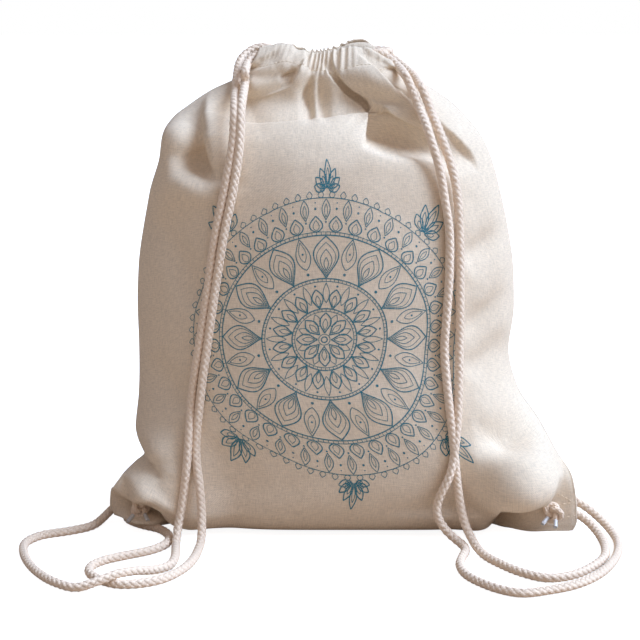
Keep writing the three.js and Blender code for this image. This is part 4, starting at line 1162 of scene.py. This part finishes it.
def laid_on_cloth(path, cloth, gap):
    """The path with the part that hangs down the front moved to rest on the cloth."""
    low = np.array(LAY_LOW)
    front = np.zeros(LAY_CELLS)
    cells = ((cloth[..., [0, 2]] - low) / LAY_CELL).astype(int).reshape(-1, 2)
    np.minimum.at(front, (cells[:, 0], cells[:, 1]), cloth[..., 1].ravel())
    i, j = ((path[:, [0, 2]] - low) / LAY_CELL).astype(int).T
    last_i, last_j = np.array(LAY_CELLS) - 1
    near = (-1, 0, 1)
    around = [front[np.clip(i + a, 0, last_i), np.clip(j + b, 0, last_j)] for a in near for b in near]
    rest = np.min(around, axis=0) - gap
    hanging = smoothstep(path[:, 2], *HANG_Z) * smoothstep(-path[:, 1], *HANG_FORWARD)
    taut = rest.copy()
    for shift in range(-BRIDGE_STEPS, BRIDGE_STEPS + 1):
        taut = np.minimum(taut, np.roll(rest, shift) + BRIDGE_SLOPE * abs(shift))
    taut = softened(taut[:, None], BRIDGE_EASE)[:, 0]
    laid = path.copy()
    laid[:, 1] = lerp(path[:, 1], taut, hanging)
    return laid


def build_cord(name, route, settings, cloth=None):
    """A braided cord along a route, with the path it follows."""
    radius = settings.diameter / MM / 2
    path = even_steps(softened(spline(route, CORD_STEP), CORD_EASE), CORD_STEP)
    if cloth is not None:
        path = even_steps(softened(laid_on_cloth(path, cloth, radius), CORD_EASE), CORD_STEP)
    bars = braid(path, BRAID_FULLNESS * radius, settings.pitch / MM, CORD_STEP)
    piece = make_piece(f"{name}_braid", *bars, yarn_material(settings))
    place_on_bag(piece, "cord", name)
    return piece, path


def run_route(near_x, far_x, offset):
    """Route of a cord through both tunnels: in at one end, round the far end and back."""
    way = math.copysign(1, far_x - near_x)
    level = tunnel_z(near_x) + offset
    path = [(near_x - way * CORD_GAP, level), (near_x + way * RUN_LEVEL, level)]
    path += [(x, tunnel_z(x) + offset) for x in (lerp(near_x, far_x, share) for share in RUN_SHARES)]
    out = [(x, TUNNEL_FROM_MIDDLE, z) for x, z in path]
    bend = []
    for i in range(RUN_TURN_POINTS):
        angle = (i + 1) * math.pi / (RUN_TURN_POINTS + 1)
        bend.append((far_x + way * TUNNEL_FROM_MIDDLE * math.sin(angle), TUNNEL_FROM_MIDDLE * math.cos(angle),
                     tunnel_z(far_x) + offset))
    back = [(x, -TUNNEL_FROM_MIDDLE, z) for x, z in reversed(path)]
    return [tuple(map(float, point)) for point in (*out, *bend, *back)]


class GYMBAG_OT_stage(Operator):
    """Floor, lights and camera"""

    bl_idname = "gymbag.stage"
    bl_label = "Stage"

    def execute(self, context):
        settings = context.scene.gym_bag.stage
        self.lay_floor(settings)
        self.add_lights(settings)
        self.light_world(context, settings)
        camera = new_object("camera", bpy.data.cameras.new("camera"))
        place, aim = Vector(CAMERA_PLACE) * MM, Vector(CAMERA_AIM) * MM
        camera.location = place
        camera.rotation_euler = self.turned_to(aim - place)
        camera.data.lens = CAMERA_LENS
        camera.data.sensor_width = CAMERA_SENSOR
        camera.data.clip_end = CAMERA_END
        context.scene.camera = camera
        context.scene.view_settings.view_transform = "Standard"
        return {"FINISHED"}

    def turned_to(self, way):
        return way.to_track_quat("-Z", "Y").to_euler()

    def lay_floor(self, settings):
        mesh = bpy.data.meshes.new("floor")
        corners = [(x * FLOOR_HALF, y * FLOOR_HALF, 0) for x, y in ((-1, -1), (1, -1), (1, 1), (-1, 1))]
        mesh.from_pydata(corners, [], [(0, 1, 2, 3)])
        mesh.materials.append(self.floor_material(settings))
        floor = new_object("floor", mesh)
        floor.location.z = -FLOOR_DROP * MM

    def floor_material(self, settings):
        """Pale floor that reads as white, and throws back a little warm light."""
        material, tree, shader = new_material("Pale floor")
        fill_in(tree, shader, {"Base Color": (0.62, 0.62, 0.62, 1), "Roughness": 0.95,
                               "Emission Color": (1, 1, 1, 1), "Emission Strength": settings.floor_glow})
        bounce = add_node(tree, "ShaderNodeBsdfDiffuse", {"Color": (*settings.floor_color, 1)})
        show_camera(tree, bounce.outputs[0], shader.outputs[0], "Material Output")
        return material

    def add_lights(self, settings):
        for name, share, spread, way, color in LIGHTS:
            light = bpy.data.lights.new(name, "SUN")
            light.angle = math.radians(spread)
            light.energy = settings.key * share
            light.color = color
            new_object(name, light).rotation_euler = self.turned_to(Vector(way))

    def light_world(self, context, settings):
        world = bpy.data.worlds.new("studio")
        world.use_nodes = True
        tree = world.node_tree
        around = tree.nodes["Background"]
        fill_in(tree, around, {"Color": WORLD_COLOR, "Strength": settings.fill})
        seen = add_node(tree, "ShaderNodeBackground", {"Color": (1, 1, 1, 1), "Strength": 1.0})
        show_camera(tree, around.outputs[0], seen.outputs[0], "World Output")
        context.scene.world = world


class GYMBAG_OT_strands(Operator):
    """Free strands of the two braided cords"""

    bl_idname = "gymbag.strands"
    bl_label = "Cord strands"

    def execute(self, context):
        settings = context.scene.gym_bag.cord
        sizes = context.scene.gym_bag.cloth
        cloth = panel_points(sizes.rows, sizes.columns, FRONT)
        for name, route in STRANDS.items():
            piece, path = build_cord(name, route, settings, cloth)
        return {"FINISHED"}


class GYMBAG_OT_cord_runs(Operator):
    """Cords inside the tunnels"""

    bl_idname = "gymbag.cord_runs"
    bl_label = "Cord runs"

    def execute(self, context):
        settings = context.scene.gym_bag.cord
        build_cord("left_cord_run", run_route(TUNNEL_LEFT_X, TUNNEL_RIGHT_X, UPPER_CORD_OFFSET), settings)
        build_cord("right_cord_run", run_route(TUNNEL_RIGHT_X, TUNNEL_LEFT_X, LOWER_CORD_OFFSET), settings)
        return {"FINISHED"}


class GYMBAG_OT_knots(Operator):
    """Knots in front of the ears and their tips"""

    bl_idname = "gymbag.knots"
    bl_label = "Knots and tips"

    def execute(self, context):
        settings = context.scene.gym_bag.cord
        for side, (middle, turn) in KNOTS.items():
            path = even_steps(self.knot_path(turn) + np.array(middle), KNOT_STEP)
            bars = braid(path, KNOT_CORD_RADIUS, KNOT_PITCH, KNOT_STEP)
            knot = make_piece(f"{side}_knot_braid", *bars, yarn_material(settings))
            place_on_bag(knot, "cord", f"{side}_knot")
        for name, (start, end) in TIPS.items():
            self.make_tip(name, np.array([start, end]), settings)
        return {"FINISHED"}

    def knot_path(self, turn):
        """A trefoil as tight as the cord allows, standing upright and turned to its ear."""
        u = np.linspace(0, 4 * math.pi, KNOT_POINTS)
        reach = KNOT_RADIUS * (2 + np.cos(1.5 * u)) / 2
        x = reach * np.cos(u)
        y = -KNOT_RADIUS * np.sin(1.5 * u) / 2
        cos, sin = math.cos(turn), math.sin(turn)
        return np.stack([x * cos - y * sin, x * sin + y * cos, reach * np.sin(u)], axis=1)

    def make_tip(self, name, path, settings):
        """A clear tube shrunk onto the cord's end, a little waisted and open at the tip."""
        ways, sides, ups = travelling_frames(path)
        length = np.linalg.norm(path[1] - path[0])
        points = []
        for share, wide in TIP_PROFILE:
            middle = path[0] + ways[0] * length * share
            for corner in turns(TIP_SIDES):
                out = math.cos(corner) * sides[0] + math.sin(corner) * ups[0]
                points.append(middle + TIP_RADIUS * wide * out)
        rings = len(TIP_PROFILE)
        uvs = grid_uvs(np.linspace(0, 1, rings), np.arange(TIP_SIDES) / TIP_SIDES)
        tip = make_piece(f"{name}_tube", points, bar_faces(rings, TIP_SIDES), uvs, self.tip_material(settings))
        place_on_bag(tip, "cord_tip", name)

    def tip_material(self, settings):
        """Clear plastic with the cord's yarn showing through."""
        if "Shrunk tip" in bpy.data.materials:
            return bpy.data.materials["Shrunk tip"]
        material, tree, shader = new_material("Shrunk tip")
        noise = add_node(tree, "ShaderNodeTexNoise", {"Vector": object_place(tree), "Scale": 900.0})
        cloudy = noise.outputs[0]
        tone = mixed(tree, cloudy, shaded(settings.tip_color, 0.85), shaded(settings.tip_color, 1.15))
        rough = ranged(tree, cloudy, 0.0, 1.0, 0.2, 0.4)
        fill_in(tree, shader, {"Base Color": tone, "Roughness": rough, "Coat Weight": 0.4})
        return material


class GYMBAG_OT_panels(Operator):
    """Front and back panels of stuffed cloth"""

    bl_idname = "gymbag.panels"
    bl_label = "Panels"

    def execute(self, context):
        settings = context.scene.gym_bag.cloth
        rows, columns = settings.rows, settings.columns
        faces = grid_faces(rows, columns)
        uvs = grid_uvs(panel_shares(rows), np.linspace(0, 1, columns))[:, ::-1]
        for name, facing in (("front_panel", FRONT), ("back_panel", BACK)):
            outward = faces if facing == FRONT else faces[:, ::-1]
            points = panel_points(rows, columns, facing)
            panel = walled_cloth(name, points, outward, uvs, settings, settings.thickness)
        return {"FINISHED"}


class GYMBAG_OT_tunnels(Operator):
    """Gathered tunnels for the cords"""

    bl_idname = "gymbag.tunnels"
    bl_label = "Tunnels"

    def execute(self, context):
        settings = context.scene.gym_bag.cloth
        thickness = settings.thickness * TUNNEL_THINNING
        faces = grid_faces(TUNNEL_RINGS, TUNNEL_SIDES, wrap=True)[:, ::-1]
        uvs = grid_uvs(np.linspace(0, 1, TUNNEL_RINGS), np.arange(TUNNEL_SIDES) / TUNNEL_SIDES * TUNNEL_CLOTH)
        for name, facing in (("front_tunnel", FRONT), ("back_tunnel", BACK)):
            walled_cloth(name, tunnel_points(facing), faces, uvs, settings, thickness)
        return {"FINISHED"}


class GYMBAG_OT_stitches(Operator):
    """Stitches of the tunnels' hems and of the right ear"""

    bl_idname = "gymbag.stitches"
    bl_label = "Stitches"

    def execute(self, context):
        sizes = context.scene.gym_bag.cloth
        row = np.searchsorted(panel_shares(sizes.rows), HEM_AT)
        for facing, side in ((FRONT, "front"), (BACK, "back")):
            cloth = panel_points(sizes.rows, sizes.columns, facing)
            lifted = cloth - facing * HEM_STITCH_LIFT * grid_normals(cloth)
            self.sew(f"{side}_hem_stitches", [lifted[row, HEM_STITCH_INSET:-HEM_STITCH_INSET]], sizes)
        cloth = panel_points(sizes.rows, sizes.columns, FRONT).reshape(-1, 3)
        rows = []
        for start, end in EAR_STITCHES:
            row = np.linspace(start, end, EAR_STITCH_POINTS)
            nearest = [cloth[np.argmin(np.hypot(cloth[:, 0] - x, cloth[:, 2] - z)), 1] for x, z in row]
            rows.append(np.stack([row[:, 0], np.array(nearest) - EAR_STITCH_LIFT, row[:, 1]], axis=1))
        self.sew("right_ear_stitches", rows, sizes)
        return {"FINISHED"}

    def sew(self, name, rows, settings):
        """Turns rows of points into a mesh of separate stitches."""
        mesh = bpy.data.meshes.new(name)
        counts = np.cumsum([0] + [len(row) for row in rows])
        edges = [(i, i + 1) for first, last in zip(counts[:-1], counts[1:]) for i in range(first, last - 1)]
        mesh.from_pydata((np.concatenate(rows) * MM).tolist(), edges, [])
        piece = new_object(name, mesh)
        group = self.stitch_group()
        sewing = piece.modifiers.new("stitches", "NODES")
        sewing.node_group = group
        values = {"Step": STITCH_STEP * MM, "Length": STITCH_LENGTH * MM, "Width": STITCH_WIDTH * MM,
                  "Thread": self.thread_material(settings)}
        for item in group.interface.items_tree:
            if item.name in values:
                sewing[item.identifier] = values[item.name]
        finish_modifiers(piece)
        place_on_bag(piece, "cotton")

    def stitch_group(self):
        """Stitches of one length laid end to end along the edges of a mesh."""
        name = "Stitches along rows"
        if name in bpy.data.node_groups:
            return bpy.data.node_groups[name]
        group = bpy.data.node_groups.new(name, "GeometryNodeTree")
        add_sockets(group, "INPUT", "NodeSocketGeometry", "Rows")
        add_sockets(group, "INPUT", "NodeSocketFloat", "Step", "Length", "Width")
        add_sockets(group, "INPUT", "NodeSocketMaterial", "Thread")
        add_sockets(group, "OUTPUT", "NodeSocketGeometry", "Stitches")
        given = group.nodes.new("NodeGroupInput").outputs
        curve = add_node(group, "GeometryNodeMeshToCurve", {"Mesh": given["Rows"]})
        places = add_node(group, "GeometryNodeCurveToPoints", mode="LENGTH")
        fill_in(group, places, {"Curve": curve.outputs[0], "Length": given["Step"]})
        stitch = add_node(group, "GeometryNodeMeshUVSphere", {"Segments": 8, "Rings": 6, "Radius": 0.5})
        size = add_node(group, "ShaderNodeCombineXYZ",
                        {0: given["Width"], 1: given["Width"], 2: given["Length"]})
        laid = add_node(group, "GeometryNodeInstanceOnPoints",
                        {"Points": places.outputs["Points"], "Instance": stitch.outputs["Mesh"],
                         "Rotation": places.outputs["Rotation"], "Scale": size.outputs[0]})
        real = add_node(group, "GeometryNodeRealizeInstances", {0: laid.outputs[0]})
        smooth = add_node(group, "GeometryNodeSetShadeSmooth", {0: real.outputs[0]})
        dyed = add_node(group, "GeometryNodeSetMaterial",
                        {"Geometry": smooth.outputs[0], "Material": given["Thread"]})
        add_node(group, "NodeGroupOutput", {0: dyed.outputs[0]})
        return group

    def thread_material(self, settings):
        """Cotton sewing thread with a fine twist."""
        if "Sewing thread" in bpy.data.materials:
            return bpy.data.materials["Sewing thread"]
        material, tree, shader = new_material("Sewing thread")
        twist = add_node(tree, "ShaderNodeTexWave",
                         {"Vector": object_place(tree), "Scale": 900.0, "Distortion": 2.0})
        tone = mixed(tree, twist.outputs[0], shaded(settings.color, 1), shaded(settings.color, 1.2))
        fill_in(tree, shader, {"Base Color": tone, "Roughness": 0.75})
        return material


class GYMBAG_OT_ink(Operator):
    """Line print on the front panel"""

    bl_idname = "gymbag.ink"
    bl_label = "Print"

    def execute(self, context):
        settings = context.scene.gym_bag.ink
        sizes = context.scene.gym_bag.cloth
        line = settings.line / MM
        scale = settings.radius / MM / PRINT_RADIUS
        points, faces = [], []
        start = 0
        for middle, width in self.design():
            middle = even_steps(middle * scale, PRINT_STEP)
            ways = np.gradient(middle, axis=0)
            ways /= np.linalg.norm(ways, axis=1, keepdims=True)
            aside = np.stack([-ways[:, 1], ways[:, 0]], axis=1) * line * width / 2
            points.append(np.stack([middle + aside, middle - aside], axis=1).reshape(-1, 2))
            faces.extend((grid_faces(len(middle), 2) + start)[:, ::-1].tolist())
            start += 2 * len(middle)
        for dot in self.dots():
            points.append(dot * scale)
            faces.append(list(range(start, start + len(dot))))
            start += len(dot)
        flat = np.concatenate(points)
        across = flat[:, 0] / (FLAT_WIDTH / 2)
        along = PRINT_MIDDLE + flat[:, 1] / FLAT_LENGTH * PRINT_STRETCH
        uvs = np.stack([(across + 1) / 2, along], axis=1)
        places = self.on_front(across, along, sizes)
        ink = make_piece("front_print", places, faces, uvs, self.ink_material(settings, sizes))
        place_on_bag(ink, "cotton")
        return {"FINISHED"}

    def on_front(self, across, along, sizes):
        """Places on the front panel's face, lifted by the thickness of the ink."""
        cloth = panel_points(sizes.rows, sizes.columns, FRONT)
        cloth = cloth + INK_LIFT * grid_normals(cloth)
        row = np.interp(along, panel_shares(sizes.rows), np.arange(sizes.rows))
        column = (across + 1) / 2 * (sizes.columns - 1)
        i = np.minimum(row.astype(int), sizes.rows - 2)
        j = np.minimum(column.astype(int), sizes.columns - 2)
        over = (column - j)[:, None]
        low = lerp(cloth[i, j], cloth[i, j + 1], over)
        high = lerp(cloth[i + 1, j], cloth[i + 1, j + 1], over)
        return lerp(low, high, (row - i)[:, None])

    def design(self):
        """Middle lines of the print with their shares of the line width."""
        turn = np.linspace(0, 2 * math.pi, RING_POINTS)
        for radius, width in PRINT_RINGS:
            yield radius * np.stack([np.sin(turn), np.cos(turn)], axis=1), width
        for count, shift, inner, outer, half, lean, width in PRINT_PETALS:
            for petal in range(count):
                angle = 2 * math.pi * (petal + shift) / count
                for side in (1, -1):
                    yield self.leaf((0, 0), angle, inner, outer, side * half, lean), width
        for count, inner, outer, width in PRINT_SPOKES:
            for angle in turns(count):
                yield np.outer((inner, outer), (math.sin(angle), math.cos(angle))), width
        for base, angles, lengths, half in PRINT_SPRAYS:
            for angle, length in zip(np.radians(angles), lengths):
                for side in (1, -1):
                    yield self.leaf(base, angle, 2, length, side * half, SPRAY_LEAN), 1
                    yield self.leaf(base, angle, 4, length - 5, side * half * 0.45, SPRAY_LEAN), 0.6

    def leaf(self, base, angle, inner, outer, half, lean):
        """One side of a pointed leaf that starts at the base and leans its widest place to the tip."""
        share = np.linspace(0, 1, LEAF_POINTS)
        way = np.array([math.sin(angle), math.cos(angle)])
        aside = np.array([way[1], -way[0]])
        out = half * np.sin(math.pi * share ** lean)
        return np.array(base) + lerp(inner, outer, share)[:, None] * way + out[:, None] * aside

    def dots(self):
        """Discs of the print."""
        turn = -turns(DOT_CORNERS)
        disc = np.stack([np.sin(turn), np.cos(turn)], axis=1)
        for count, shift, radius, size in PRINT_DOTS:
            for dot in range(count):
                angle = 2 * math.pi * (dot + shift) / count
                yield radius * np.array([math.sin(angle), math.cos(angle)]) + size * disc

    def ink_material(self, settings, sizes):
        """Matt ink on the tops of the threads, thin where the weave dips."""
        material, tree, shader = new_material("Print ink")
        _, weave = weave_in(tree, sizes.threads)
        worn = ranged(tree, weave["Tone"], 0.5, 0.68, 0.0, 0.45)
        tone = mixed(tree, worn, (*settings.color, 1), shaded(sizes.color, 0.85))
        threads = bumped(tree, weave["Height"], 0.3, 0.15 * MM)
        fill_in(tree, shader, {"Base Color": tone, "Normal": threads, "Roughness": 0.85,
                               "Specular IOR Level": 0.2})
        return material


class GYMBAG_PT_pieces(Panel):
    """Sizes, colours and pieces of the gym bag"""

    bl_idname = "GYMBAG_PT_pieces"
    bl_label = "Gym bag"
    bl_space_type = "VIEW_3D"
    bl_region_type = "UI"
    bl_category = "Gym bag"

    def draw(self, context):
        settings = context.scene.gym_bag
        for group in (settings.cloth, settings.cord, settings.ink, settings.stage):
            box = self.layout.box()
            for name in type(group).__annotations__:
                box.prop(group, name)
        for operator in OPERATORS:
            self.layout.operator(operator.bl_idname)


OPERATORS = (GYMBAG_OT_stage, GYMBAG_OT_knots, GYMBAG_OT_strands, GYMBAG_OT_cord_runs, GYMBAG_OT_tunnels,
             GYMBAG_OT_stitches, GYMBAG_OT_ink, GYMBAG_OT_panels)
CLASSES = (ClothSettings, CordSettings, PrintSettings, StageSettings, BagSettings, *OPERATORS, GYMBAG_PT_pieces)


def register():
    for cls in CLASSES:
        bpy.utils.register_class(cls)
    bpy.types.Scene.gym_bag = PointerProperty(type=BagSettings)


def unregister():
    del bpy.types.Scene.gym_bag
    for cls in reversed(CLASSES):
        bpy.utils.unregister_class(cls)


def main():
    register()
    bpy.ops.gymbag.stage()
    bpy.ops.gymbag.knots()
    bpy.ops.gymbag.strands()
    bpy.ops.gymbag.cord_runs()
    bpy.ops.gymbag.tunnels()
    bpy.ops.gymbag.stitches()
    bpy.ops.gymbag.ink()
    bpy.ops.gymbag.panels()


if __name__ == "__main__":
    main()
